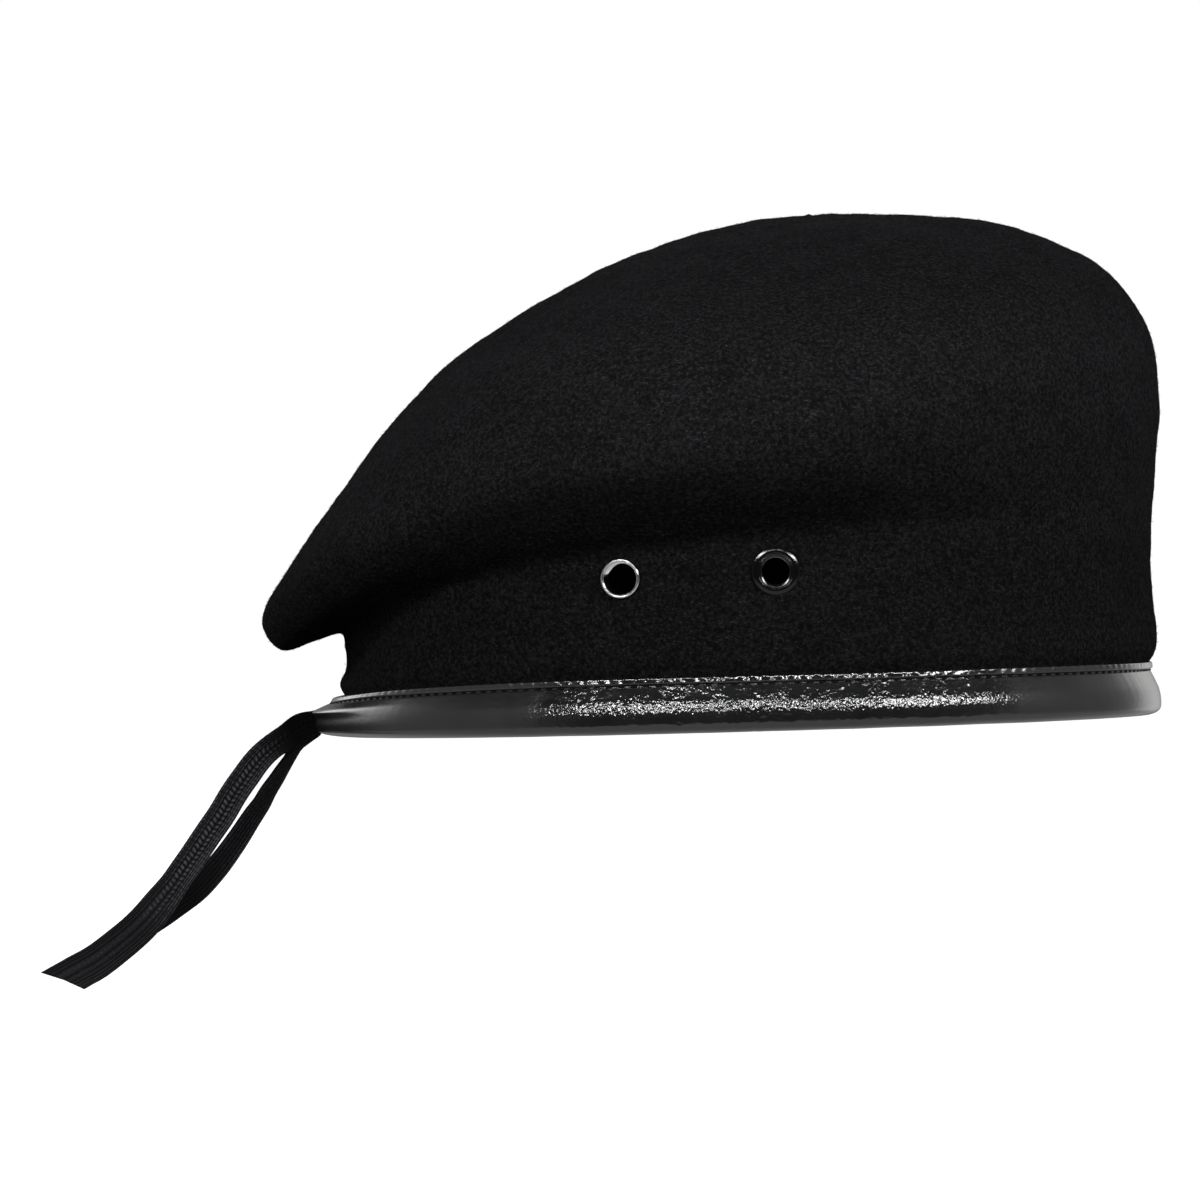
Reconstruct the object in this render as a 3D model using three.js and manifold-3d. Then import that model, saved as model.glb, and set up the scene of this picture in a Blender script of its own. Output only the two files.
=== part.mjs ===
// A military beret: a felted wool crown drawn down to the wearer's right and back, a leather
// binding folded round its rim, two ventilation eyelets, and the two free ends of the drawing tape.
// Millimetres, +Z up. The origin is the centre of the head opening, level with the binding's lower
// edge. +X is the wearer's front and -Y the wearer's right, where the crown hangs over the wall.
import * as THREE from "three";
import { mergeVertices } from "three/addons/utils/BufferGeometryUtils.js";
import Module from "manifold-3d";

const CLEARANCE = 0.3; // left between pieces that lie on each other
const DIRECTIONS = 8; // the columns of every table of reaches and heights
const SIDES = 72; // facets round the hat
const STEP = 1e-3; // for slopes and normals
const SMALLEST = 1e-9;
const HALVINGS = 30; // for finding a height on the wall
const ROW_SPACING = 0.6; // power of the distance between rows by which their rings are spaced

// Felt
const FELT = 2;
const INNER_SHARE = 0.6; // rings on the inside of the felt, as a share of those on the outside

// The outside of the felt, from the raw edge inside the binding up to the highest point. Each row is
// a closed ring, given by its centre and by its reach from there and its height in eight directions:
// front, front left, left, back left, back, back right, right, front right. The last column says
// how many rings of the mesh there are from this row to the next.
const CROWN_ROWS = [
  {
    row: "hem",
    centre: [0, 0],
    reach: [100.8, 93.4, 84.6, 92.6, 98.4, 92.6, 84.6, 93.4],
    height: [2.5, 2.5, 2.5, 2.5, 2.5, 2.5, 2.5, 2.5],
    rings: 1,
  },
  {
    row: "bound",
    centre: [0, 0],
    reach: [100.6, 93.2, 84.4, 92.4, 98.3, 92.4, 84.4, 93.2],
    height: [11.4, 11.4, 11.4, 10.8, 8.2, 10.8, 11.4, 11.4],
    rings: 2,
  },
  {
    row: "wall_foot",
    centre: [0, 0],
    reach: [102.5, 94.8, 85.8, 94.2, 100.4, 94.2, 85.8, 94.8],
    height: [15.9, 15.8, 15.6, 14.9, 12.2, 14.9, 15.6, 15.8],
    rings: 1,
  },
  {
    row: "wall_low",
    centre: [0, 0],
    reach: [102.0, 95.0, 86.4, 94.4, 98.8, 94.2, 86.0, 94.8],
    height: [25.0, 26.0, 27.0, 21.5, 16.5, 22.0, 26.0, 25.5],
    rings: 1,
  },
  {
    row: "wall_high",
    centre: [0, 0],
    reach: [101.4, 95.1, 87.0, 94.9, 98.4, 94.1, 85.8, 94.7],
    height: [38.0, 40.0, 43.0, 31.0, 21.4, 33.0, 41.0, 40.0],
    rings: 3,
  },
  {
    row: "crease",
    centre: [0, 0],
    reach: [101.9, 95.6, 87.6, 96.2, 99.8, 95.0, 86.7, 95.6],
    height: [48.0, 51.0, 56.0, 38.0, 26.0, 37.9, 46.2, 48.6],
    rings: 2,
  },
  {
    row: "underside",
    centre: [0, 0],
    reach: [102.8, 96.3, 88.2, 99.5, 106.8, 100.6, 91.6, 97.8],
    height: [56.5, 61.0, 68.0, 41.5, 24.2, 40.8, 50.6, 54.8],
    rings: 2,
  },
  {
    row: "edge_low",
    centre: [0, 0],
    reach: [104.1, 96.7, 88.6, 103.7, 115.3, 107.4, 98.5, 100.3],
    height: [67.0, 72.0, 80.0, 47.5, 21.8, 45.0, 56.6, 62.0],
    rings: 4,
  },
  {
    row: "edge",
    centre: [0, 0],
    reach: [104.9, 96.5, 87.6, 106.0, 119.9, 112.4, 103.9, 102.1],
    height: [78.5, 84.0, 91.5, 57.0, 29.0, 52.4, 65.2, 72.6],
    rings: 3,
  },
  {
    row: "shoulder",
    centre: [2, 1],
    reach: [101.7, 93.2, 82.6, 102.5, 116.0, 110.3, 103.8, 101.2],
    height: [92.4, 97.0, 102.0, 69.8, 40.4, 64.0, 77.0, 85.5],
    rings: 3,
  },
  {
    row: "upper",
    centre: [5, 3],
    reach: [90.6, 82.4, 71.5, 93.0, 108.6, 102.6, 96.2, 93.2],
    height: [107.6, 109.4, 111.5, 85.0, 55.2, 80.0, 92.0, 101.0],
    rings: 2,
  },
  {
    row: "outer_disc",
    centre: [9, 6],
    reach: [73.5, 65.0, 55.5, 78.0, 94.0, 86.5, 80.6, 76.5],
    height: [117.6, 118.2, 118.7, 100.2, 78.2, 96.6, 104.8, 112.8],
    rings: 2,
  },
  {
    row: "mid_disc",
    centre: [13, 9],
    reach: [50.0, 43.4, 37.0, 57.0, 72.0, 63.5, 56.5, 54.0],
    height: [124.4, 124.4, 124.1, 113.7, 100.3, 111.7, 116.0, 120.8],
    rings: 2,
  },
  {
    row: "inner_disc",
    centre: [17, 12],
    reach: [24.5, 21.0, 18.0, 29.0, 37.0, 31.5, 27.5, 26.0],
    height: [127.0, 127.1, 126.9, 123.5, 118.6, 123.0, 124.0, 125.8],
    rings: 1,
  },
  {
    row: "top",
    centre: [20, 14],
    reach: [0, 0, 0, 0, 0, 0, 0, 0],
    height: [127.5, 127.5, 127.5, 127.5, 127.5, 127.5, 127.5, 127.5],
    rings: 0,
  },
];

// Soft dents in the felt: each is pressed in by its depth at its centre, and fades over its length
// along its direction and over its breadth across it.
const DENTS = [
  { name: "front_dimple", centre: [71, -38, 106], direction: [0.6, -0.5, -0.6], length: 13, breadth: 8, depth: 1.6 },
  { name: "back_fold", centre: [-58, -30, 86], direction: [0.75, -0.1, 0.6], length: 16, breadth: 6, depth: 1.3 },
];

// Leather binding: a channel folded over the felt's raw edge, round a padded draw tape
const BINDING_HEIGHT = [13.0, 13.3, 13.3, 12.8, 10.9, 12.8, 13.4, 13.3];
const INNER_LIMB = 0.94; // height of the limb on the head's side, as a share of the outer limb's
const BINDING_FLOOR = 2.2; // leather under the felt's raw edge
const FLARE_ANGLE = 0.3; // radians: half the breadth of the flare where the tape leaves
const FLARE_DROP = 1.2; // how far the flare pulls the binding's upper edge down

// The channel's section, from its lowest point up the outside, down into the channel, and back down
// the inside: outward from the felt's outer face, up as a share of the binding's height, and
// outward again where the binding flares for the tape.
const BINDING_SECTION = [
  { point: "bottom", out: -1.0, up: 0.0, flare: 0.6 },
  { point: "bottom_outside", out: 1.3, up: 0.02, flare: 2.4 },
  { point: "bulge_low", out: 2.75, up: 0.14, flare: 4.4 },
  { point: "bulge", out: 3.15, up: 0.33, flare: 4.8 },
  { point: "bulge_high", out: 2.35, up: 0.59, flare: 4.0 },
  { point: "stitch_groove", out: 1.35, up: 0.85, flare: 3.0 },
  { point: "lip_outside", out: 2.0, up: 0.97, flare: 2.4 },
  { point: "lip_inside", out: 1.05, up: 1.0, flare: 2.3 },
  { point: "channel_high", out: 0.4, up: 0.84, flare: 2.6 },
  { point: "channel_low", out: 0.35, floor: true, flare: 3.4 },
  { point: "channel_corner", out: -2.35, floor: true, flare: 0.0 },
  { point: "inner_lip_outside", out: -2.4, up: INNER_LIMB, flare: 0.0 },
  { point: "inner_lip_inside", out: -3.3, up: INNER_LIMB * 0.98, flare: 0.0 },
  { point: "inner_bulge_high", out: -3.9, up: 0.7, flare: 0.0 },
  { point: "inner_bulge", out: -4.3, up: 0.42, flare: 0.0 },
  { point: "inner_bulge_low", out: -3.7, up: 0.12, flare: 0.0 },
];
const SLIT = { depth: 12, breadth: 5, bottom: 0.9, top: 8.4, centreX: -106.5 }; // where the tape leaves

// Eyelets, set through the right wall: placed by their angle from the front and their height
const EYELET_HOLE = 3.3;
const EYELET_BARREL = 3.9;
const EYELET_BACK_FLANGE = 4.9;
const EYELET_SEAT = 0.45; // between the curved felt and the flat flange
const FLANGE_THICKNESS = 0.9;
const EYELET_SIDES = 24;
const EYELETS = [
  { name: "eyelet_front", angle: -85.3, height: 38.2, flange: 5.6 },
  { name: "eyelet_rear", angle: -110, height: 37.4, flange: 4.9 },
];

// Draw tape: two flat free ends, which leave the binding side by side at the back
const TAPE_THICKNESS = 1.2;
const TAPE_STEPS = 36;
const CUT_SHARE = 0.12; // the end's share of the length over which the slanting cut is taken up
const TAPE_ENDS = [
  {
    name: "ribbon_tail_right",
    route: [
      [-104.4, -1.2, 4.1],
      [-107.2, -1.3, 3.6],
      [-110.2, -2.0, 2.6],
      [-113.4, -2.8, 0.7],
      [-117.9, -3.7, -2.0],
      [-121.8, -4.2, -5.6],
      [-124.9, -4.5, -9.5],
      [-127.9, -4.6, -14.1],
      [-131.1, -4.5, -19.2],
      [-134.5, -4.4, -24.0],
      [-139.4, -4.2, -31.0],
      [-143.0, -4.0, -35.8],
      [-146.4, -3.7, -39.8],
      [-149.6, -3.5, -43.6],
      [-153.2, -3.4, -47.1],
      [-157.9, -3.3, -50.9],
      [-162.7, -3.2, -54.3],
      [-167.6, -3.1, -56.9],
      [-171.6, -3.0, -59.0],
    ],
    form: [
      { along: 0, width: 5.7, turn: 0 },
      { along: 0.03, width: 5.9, turn: 2 },
      { along: 0.065, width: 7.2, turn: 14 },
      { along: 0.11, width: 8.2, turn: 38 },
      { along: 0.16, width: 8.8, turn: 46 },
      { along: 0.24, width: 8.8, turn: 41 },
      { along: 0.4, width: 8.8, turn: 39 },
      { along: 0.6, width: 8.8, turn: 39 },
      { along: 0.7, width: 8.8, turn: 15 },
      { along: 1, width: 9.0, turn: 0 },
    ],
    slant: -7.5,
  },
  {
    name: "ribbon_tail_left",
    route: [
      [-104.4, 1.2, 4.1],
      [-107.2, 1.5, 2.9],
      [-110.6, 3.5, -0.9],
      [-113.9, 5.8, -5.3],
      [-117.2, 7.0, -9.9],
      [-119.6, 7.4, -13.3],
      [-121.6, 7.6, -17.3],
      [-124.9, 7.5, -22.2],
      [-128.8, 7.1, -27.6],
      [-133.4, 6.6, -32.7],
      [-138.6, 6.0, -37.9],
      [-144.9, 5.4, -42.4],
      [-151.0, 5.1, -46.3],
      [-156.6, 4.9, -50.0],
    ],
    form: [
      { along: 0, width: 5.7, turn: 0 },
      { along: 0.04, width: 5.5, turn: 2 },
      { along: 0.1, width: 7.2, turn: 52 },
      { along: 0.16, width: 8.8, turn: 78 },
      { along: 0.25, width: 8.8, turn: 70 },
      { along: 0.4, width: 8.8, turn: 58 },
      { along: 0.6, width: 8.8, turn: 48 },
      { along: 1, width: 8.8, turn: 45 },
    ],
    slant: 0,
  },
];

const FELT_BLACK = new THREE.MeshStandardMaterial({ color: 0x17171a, roughness: 1.0, metalness: 0 });
const LEATHER_BLACK = new THREE.MeshStandardMaterial({ color: 0x0c0c0d, roughness: 0.32, metalness: 0 });
const TAPE_BLACK = new THREE.MeshStandardMaterial({ color: 0x131315, roughness: 0.85, metalness: 0 });
const EYELET_DARK = new THREE.MeshStandardMaterial({ color: 0x2a2b2e, roughness: 0.3, metalness: 1 });
const EYELET_BRIGHT = new THREE.MeshStandardMaterial({ color: 0x9a9ca0, roughness: 0.2, metalness: 1 });

const wasm = await Module();
wasm.setup();

// Geometry as a solid that can be cut.
function solidOf(geometry) {
  const plain = geometry.clone();
  plain.deleteAttribute("normal");
  plain.deleteAttribute("uv");
  const merged = mergeVertices(plain);
  const vertProperties = new Float32Array(merged.attributes.position.array);
  const triVerts = new Uint32Array(merged.index.array);
  return new wasm.Manifold(new wasm.Mesh({ numProp: 3, vertProperties, triVerts }));
}

// A cut solid back as geometry.
function geometryOf(solid) {
  const mesh = solid.getMesh();
  const geometry = new THREE.BufferGeometry();
  geometry.setAttribute("position", new THREE.BufferAttribute(mesh.vertProperties, 3));
  geometry.setIndex(new THREE.BufferAttribute(mesh.triVerts, 1));
  geometry.computeVertexNormals();
  return geometry;
}

// A closed surface through rings of equally many points. Without end points it is a ring itself,
// and its last ring joins its first. With them, each end closes in a fan.
function skin(rings, endPoints) {
  const sides = rings[0].length;
  const points = rings.flat();
  const faces = [];
  const joins = endPoints ? rings.length - 1 : rings.length;
  for (let i = 0; i < joins; i++) {
    const low = i * sides;
    const high = ((i + 1) % rings.length) * sides;
    for (let j = 0; j < sides; j++) {
      const next = (j + 1) % sides;
      faces.push(low + j, low + next, high + next);
      faces.push(low + j, high + next, high + j);
    }
  }
  if (endPoints) {
    const first = points.push(endPoints[0]) - 1;
    const last = points.push(endPoints[1]) - 1;
    const lastRing = (rings.length - 1) * sides;
    for (let j = 0; j < sides; j++) {
      const next = (j + 1) % sides;
      faces.push(first, next, j);
      faces.push(last, lastRing + j, lastRing + next);
    }
  }
  const geometry = new THREE.BufferGeometry().setFromPoints(points);
  geometry.setIndex(faces);
  geometry.computeVertexNormals();
  return geometry;
}

// How much each of the eight directions counts at an angle: a smooth periodic curve through all.
function directionWeights(angle) {
  const weights = [];
  for (let k = 0; k < DIRECTIONS; k++) {
    const x = angle - (k * 2 * Math.PI) / DIRECTIONS;
    const tangent = Math.tan(x / 2);
    const near = Math.abs(tangent) < SMALLEST;
    weights.push(near ? 1 : Math.sin((DIRECTIONS * x) / 2) / (DIRECTIONS * tangent));
  }
  return weights;
}

function around(values, angle) {
  const weights = directionWeights(angle);
  return values.reduce((sum, value, k) => sum + value * weights[k], 0);
}

// Where each row lies along the crown's length, from 0 at the hem to 1 at the top: by the mean
// distance between rows, evened out so that close rows still get rings of their own.
function rowPlaces(rows) {
  const places = [0];
  for (let i = 1; i < rows.length; i++) {
    let squares = 0;
    for (let k = 0; k < DIRECTIONS; k++) {
      squares += (rows[i].reach[k] - rows[i - 1].reach[k]) ** 2;
      squares += (rows[i].height[k] - rows[i - 1].height[k]) ** 2;
    }
    places.push(places[i - 1] + Math.sqrt(squares / DIRECTIONS) ** ROW_SPACING);
  }
  return places.map((place) => place / places[places.length - 1]);
}

const CROWN_PLACES = rowPlaces(CROWN_ROWS);
const CROWN_COLUMNS = CROWN_ROWS.map((row) => [...row.centre, ...row.reach, ...row.height]);

function placeOfRow(name) {
  return CROWN_PLACES[CROWN_ROWS.findIndex((row) => row.row === name)];
}

// Slope of one column at a row, by the parabola through it and its two neighbours.
function columnSlope(column, i) {
  const last = CROWN_ROWS.length - 1;
  const slope = (a, b) =>
    (CROWN_COLUMNS[b][column] - CROWN_COLUMNS[a][column]) / (CROWN_PLACES[b] - CROWN_PLACES[a]);
  if (i === 0) return slope(0, 1);
  if (i === last) return column < 2 + DIRECTIONS ? slope(last - 1, last) : 0;
  const below = CROWN_PLACES[i] - CROWN_PLACES[i - 1];
  const above = CROWN_PLACES[i + 1] - CROWN_PLACES[i];
  return (slope(i - 1, i) * above + slope(i, i + 1) * below) / (below + above);
}

// One row of the crown at any place along its length, by a cubic through the table's rows.
function crownRow(place) {
  let i = CROWN_PLACES.findIndex((at) => at > place) - 1;
  if (i < 0) i = CROWN_ROWS.length - 2;
  const span = CROWN_PLACES[i + 1] - CROWN_PLACES[i];
  const s = (place - CROWN_PLACES[i]) / span;
  const values = CROWN_COLUMNS[i].map(
    (value, column) =>
      (2 * s ** 3 - 3 * s ** 2 + 1) * value +
      (s ** 3 - 2 * s ** 2 + s) * span * columnSlope(column, i) +
      (3 * s ** 2 - 2 * s ** 3) * CROWN_COLUMNS[i + 1][column] +
      (s ** 3 - s ** 2) * span * columnSlope(column, i + 1),
  );
  return {
    centre: values.slice(0, 2),
    reach: values.slice(2, 2 + DIRECTIONS),
    height: values.slice(2 + DIRECTIONS),
  };
}

function rowPoint(row, angle) {
  const reach = around(row.reach, angle);
  const x = row.centre[0] + reach * Math.cos(angle);
  const y = row.centre[1] + reach * Math.sin(angle);
  return new THREE.Vector3(x, y, around(row.height, angle));
}

// The felt's outward direction at a place and angle.
function crownNormal(place, angle) {
  const low = Math.max(0, place - STEP);
  const high = Math.min(1 - STEP, place + STEP);
  const along = rowPoint(crownRow(high), angle).sub(rowPoint(crownRow(low), angle));
  const middle = crownRow(Math.min(place, 1 - STEP));
  const across = rowPoint(middle, angle + STEP).sub(rowPoint(middle, angle - STEP));
  return across.cross(along).normalize();
}

// How deep the dents press the felt in at a point.
function dentDepth(point) {
  return DENTS.reduce((sum, dent) => {
    const offset = point.clone().sub(new THREE.Vector3(...dent.centre));
    const along = offset.dot(new THREE.Vector3(...dent.direction).normalize());
    const acrossSquared = offset.lengthSq() - along ** 2;
    return sum + dent.depth * Math.exp(-((along / dent.length) ** 2) - acrossSquared / dent.breadth ** 2);
  }, 0);
}

// A point of the felt, a given depth in from its outer face.
function crownPoint(place, angle, depth) {
  const point = rowPoint(crownRow(place), angle);
  return point.addScaledVector(crownNormal(place, angle), -depth - dentDepth(point));
}

function crownRing(place, depth) {
  const ring = [];
  for (let j = 0; j < SIDES; j++) ring.push(crownPoint(place, (j * 2 * Math.PI) / SIDES, depth));
  return ring;
}

// The raw edge stands level, so its rings keep the hem's own height.
function hemRing(depth) {
  return crownRing(0, depth).map((point) => point.setZ(CROWN_ROWS[0].height[0]));
}

// The places of a skin's rings: each row's own, and those that its last column puts above it.
function ringPlaces(share) {
  return CROWN_ROWS.slice(0, -1).flatMap((row, i) => {
    const count = Math.max(1, Math.round(row.rings * share));
    const span = CROWN_PLACES[i + 1] - CROWN_PLACES[i];
    return Array.from({ length: count }, (_, k) => CROWN_PLACES[i] + (span * k) / count);
  });
}

function crownShell() {
  const outer = ringPlaces(1).map((place) => crownRing(place, 0));
  const inner = ringPlaces(INNER_SHARE).map((place) => crownRing(place, FELT));
  outer[0] = hemRing(0);
  inner[0] = hemRing(FELT);
  const top = rowPoint(CROWN_ROWS[CROWN_ROWS.length - 1], 0);
  const ceiling = top.clone().setZ(top.z - FELT);
  return skin([...inner.reverse(), ...outer], [ceiling, top]);
}

// The place along the crown's wall at a height, found by halving between the binding and the crease.
function wallPlace(angle, height) {
  let low = placeOfRow("wall_foot");
  let high = placeOfRow("crease");
  for (let i = 0; i < HALVINGS; i++) {
    const middle = (low + high) / 2;
    if (rowPoint(crownRow(middle), angle).z < height) low = middle;
    else high = middle;
  }
  return low;
}

// Sets an object upright on the wall where an eyelet goes: its +Y is the felt's outward direction
// and its origin lies in the middle of the felt.
function setOnWall(object, eyelet) {
  const angle = THREE.MathUtils.degToRad(eyelet.angle);
  const place = wallPlace(angle, eyelet.height);
  const outward = crownNormal(place, angle);
  object.quaternion.setFromUnitVectors(new THREE.Vector3(0, 1, 0), outward);
  object.position.copy(crownPoint(place, angle, FELT / 2));
  object.updateMatrixWorld(true);
  return object;
}

// The crown, with a hole through its right wall for each eyelet.
function crownGeometry() {
  let solid = solidOf(crownShell());
  for (const eyelet of EYELETS) {
    const hole = new THREE.CylinderGeometry(
      EYELET_BARREL + CLEARANCE,
      EYELET_BARREL + CLEARANCE,
      FELT * 5,
      EYELET_SIDES,
    );
    const drill = setOnWall(new THREE.Mesh(hole), eyelet);
    solid = solid.subtract(solidOf(hole.applyMatrix4(drill.matrixWorld)));
  }
  return geometryOf(solid);
}

// An eyelet about its own axis: a domed flange outside the felt, a barrel through it, and a flange
// rolled over on the inside.
function eyeletGeometry(flange) {
  const face = FELT / 2 + EYELET_SEAT;
  const profile = [
    [EYELET_HOLE, -face - FLANGE_THICKNESS * 0.6],
    [EYELET_HOLE + 0.25, -face - FLANGE_THICKNESS],
    [EYELET_BACK_FLANGE - 0.3, -face - FLANGE_THICKNESS * 0.8],
    [EYELET_BACK_FLANGE, -face],
    [EYELET_BARREL, -face],
    [EYELET_BARREL, face],
    [flange, face],
    [flange - 0.1, face + FLANGE_THICKNESS * 0.45],
    [flange - 0.7, face + FLANGE_THICKNESS],
    [EYELET_HOLE + 0.5, face + FLANGE_THICKNESS * 0.9],
    [EYELET_HOLE, face + FLANGE_THICKNESS * 0.35],
    [EYELET_HOLE, -face - FLANGE_THICKNESS * 0.6],
  ];
  return new THREE.LatheGeometry(
    profile.map(([radius, along]) => new THREE.Vector2(radius, along)),
    EYELET_SIDES,
  );
}

// How much the binding flares at an angle: 1 at the back, where the tape leaves, and 0 elsewhere.
function flareAt(angle) {
  return Math.exp(-(((angle - Math.PI) / FLARE_ANGLE) ** 2));
}

function bindingPoint(section, angle) {
  const hem = CROWN_ROWS[0];
  const foot = rowPoint(hem, angle);
  const tangent = rowPoint(hem, angle + STEP).sub(rowPoint(hem, angle - STEP));
  const outward = tangent.cross(new THREE.Vector3(0, 0, 1)).normalize();
  const flare = flareAt(angle);
  const height = around(BINDING_HEIGHT, angle) - FLARE_DROP * flare;
  foot.addScaledVector(outward, section.out + section.flare * flare);
  return foot.setZ(section.floor ? BINDING_FLOOR : section.up * height);
}

// The binding, with a slit at the back for the tape.
function bindingGeometry() {
  const rings = BINDING_SECTION.map((section) => {
    const ring = [];
    for (let j = 0; j < SIDES; j++) ring.push(bindingPoint(section, (j * 2 * Math.PI) / SIDES));
    return ring;
  });
  const slit = new THREE.BoxGeometry(SLIT.depth, SLIT.breadth, SLIT.top - SLIT.bottom);
  slit.translate(SLIT.centreX, 0, (SLIT.top + SLIT.bottom) / 2);
  return geometryOf(solidOf(skin(rings)).subtract(solidOf(slit)));
}

// The width and turn of a tape end at a share of its length.
function tapeForm(form, along) {
  let i = form.findIndex((row) => row.along > along) - 1;
  if (i < 0) i = form.length - 2;
  const share = (along - form[i].along) / (form[i + 1].along - form[i].along);
  return {
    width: THREE.MathUtils.lerp(form[i].width, form[i + 1].width, share),
    turn: THREE.MathUtils.degToRad(THREE.MathUtils.lerp(form[i].turn, form[i + 1].turn, share)),
  };
}

// A flat tape of unit width, extruded straight and then laid along its route. Turned by nothing, its
// broad face looks to the wearer's right.
function tapeGeometry(tape) {
  const half = TAPE_THICKNESS / 2;
  const outline = [
    [-0.5, -half * 0.5],
    [-0.42, -half],
    [0.42, -half],
    [0.5, -half * 0.5],
    [0.5, half * 0.5],
    [0.42, half],
    [-0.42, half],
    [-0.5, half * 0.5],
  ];
  const section = new THREE.Shape(outline.map(([x, y]) => new THREE.Vector2(x, y)));
  const geometry = new THREE.ExtrudeGeometry(section, { depth: 1, steps: TAPE_STEPS, bevelEnabled: false });
  const route = new THREE.CatmullRomCurve3(tape.route.map((point) => new THREE.Vector3(...point)));
  const left = new THREE.Vector3(0, 1, 0);
  const position = geometry.attributes.position;
  for (let i = 0; i < position.count; i++) {
    const along = Math.min(1, Math.max(0, position.getZ(i)));
    const { width, turn } = tapeForm(tape.form, along);
    const forward = route.getTangentAt(along);
    const upright = forward.clone().cross(left).normalize();
    const sideways = upright.clone().cross(forward);
    const broad = upright.clone().multiplyScalar(Math.cos(turn)).addScaledVector(sideways, Math.sin(turn));
    const face = forward.clone().cross(broad);
    const point = route.getPointAt(along);
    const cut = Math.max(0, (along - 1 + CUT_SHARE) / CUT_SHARE);
    point.addScaledVector(broad, position.getX(i) * width);
    point.addScaledVector(forward, position.getX(i) * tape.slant * cut);
    point.addScaledVector(face, position.getY(i));
    position.setXYZ(i, point.x, point.y, point.z);
  }
  return geometry;
}

function named(name, geometry, material) {
  const mesh = new THREE.Mesh(geometry, material);
  mesh.name = name;
  return mesh;
}

const beret = new THREE.Group();
beret.add(named("wool_crown", crownGeometry(), FELT_BLACK));
beret.add(named("leather_binding", bindingGeometry(), LEATHER_BLACK));
for (const eyelet of EYELETS) {
  const material = eyelet.name === "eyelet_rear" ? EYELET_BRIGHT : EYELET_DARK;
  beret.add(setOnWall(named(eyelet.name, eyeletGeometry(eyelet.flange), material), eyelet));
}
for (const tape of TAPE_ENDS) beret.add(named(tape.name, tapeGeometry(tape), TAPE_BLACK));

export default beret;
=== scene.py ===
"""A black military beret, held up as a head holds it, dressed for the photograph's side view.

Everything is in the part's own frame: +Z up, the origin at the centre of the head opening level with
the leather binding's lower edge, +X the wearer's front and -Y the wearer's right. The tables are in
millimetres and the meshes in metres.
"""
import math

import bpy
import numpy as np
from mathutils import Euler, Matrix, Vector


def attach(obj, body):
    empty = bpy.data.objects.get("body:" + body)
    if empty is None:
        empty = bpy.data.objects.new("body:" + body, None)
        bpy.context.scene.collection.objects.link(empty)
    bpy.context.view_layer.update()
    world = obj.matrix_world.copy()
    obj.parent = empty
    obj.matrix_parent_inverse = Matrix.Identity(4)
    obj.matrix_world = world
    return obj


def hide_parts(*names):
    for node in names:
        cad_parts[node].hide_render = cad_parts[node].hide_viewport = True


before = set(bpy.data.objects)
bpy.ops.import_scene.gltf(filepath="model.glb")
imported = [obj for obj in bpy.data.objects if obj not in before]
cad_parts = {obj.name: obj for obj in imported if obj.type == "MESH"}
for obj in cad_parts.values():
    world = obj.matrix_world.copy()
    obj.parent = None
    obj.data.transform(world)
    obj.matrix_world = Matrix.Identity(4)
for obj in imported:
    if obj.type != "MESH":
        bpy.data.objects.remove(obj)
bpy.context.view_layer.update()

MM = 0.001
TURN = 2 * math.pi
SMALLEST = 1e-12  # keeps a length from being divided by nothing
NEAR_ZERO = 1e-9

# Camera
IMAGE = 1200  # pixels a side of the photograph
SCALE = 4.01  # pixels for a millimetre at the target
TARGET = (-0.0351, 0.0, 0.0321)
CAMERA_DISTANCE = 2.0
CAMERA_ELEVATION = math.radians(0.2)
CAMERA_ROLL = math.radians(1.6)
CAMERA_SIGHT = 50.0  # metres
SENSOR = 36.0


def make_camera():
    data = bpy.data.cameras.new("camera")
    data.sensor_width = SENSOR
    data.lens = SENSOR * CAMERA_DISTANCE / MM / (IMAGE / SCALE)
    data.clip_end = CAMERA_SIGHT
    camera = bpy.data.objects.new("camera", data)
    bpy.context.collection.objects.link(camera)
    camera.location = (
        TARGET[0],
        TARGET[1] - CAMERA_DISTANCE * math.cos(CAMERA_ELEVATION),
        TARGET[2] + CAMERA_DISTANCE * math.sin(CAMERA_ELEVATION),
    )
    # The camera looks along +Y, and the hat stands turned a little anticlockwise in the picture.
    look = Euler((math.pi / 2 - CAMERA_ELEVATION, 0, 0)).to_matrix()
    camera.rotation_euler = (look @ Matrix.Rotation(-CAMERA_ROLL, 3, "Z")).to_euler()
    bpy.context.scene.camera = camera


# Meshes
def add_mesh(name, points, faces, material):
    """A smooth-shaded object from points in millimetres."""
    mesh = bpy.data.meshes.new(name)
    mesh.from_pydata((np.asarray(points) * MM).tolist(), [], faces)
    mesh.validate()
    mesh.polygons.foreach_set("use_smooth", np.ones(len(mesh.polygons), dtype=bool))
    mesh.materials.append(material)
    made = bpy.data.objects.new(name, mesh)
    bpy.context.collection.objects.link(made)
    return made


def grid_faces(rows, columns, close_rows=False):
    """Quads between rings of points: each ring closes on itself, and the last joins the first if asked."""
    i = np.arange(rows if close_rows else rows - 1)[:, None]
    j = np.arange(columns)[None, :]
    low, high = i * columns, ((i + 1) % rows) * columns
    after = (j + 1) % columns
    quads = np.stack([low + j, low + after, high + after, high + j], axis=-1)
    return quads.reshape(-1, 4)


def fan(point, ring, inward=False):
    """Triangles from one point to a closed ring of them."""
    pairs = zip(ring, ring[1:] + ring[:1])
    return [[point, b, a] if inward else [point, a, b] for a, b in pairs]


def unit(vectors):
    return vectors / np.maximum(lengths(vectors)[..., None], SMALLEST)


def table(columns, *rows):
    """The rows of a table as dictionaries, by the names of its columns."""
    return [dict(zip(columns, row)) for row in rows]


def running(steps):
    """The way travelled after each step, from 0."""
    return np.concatenate([[0], np.cumsum(steps)])


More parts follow.
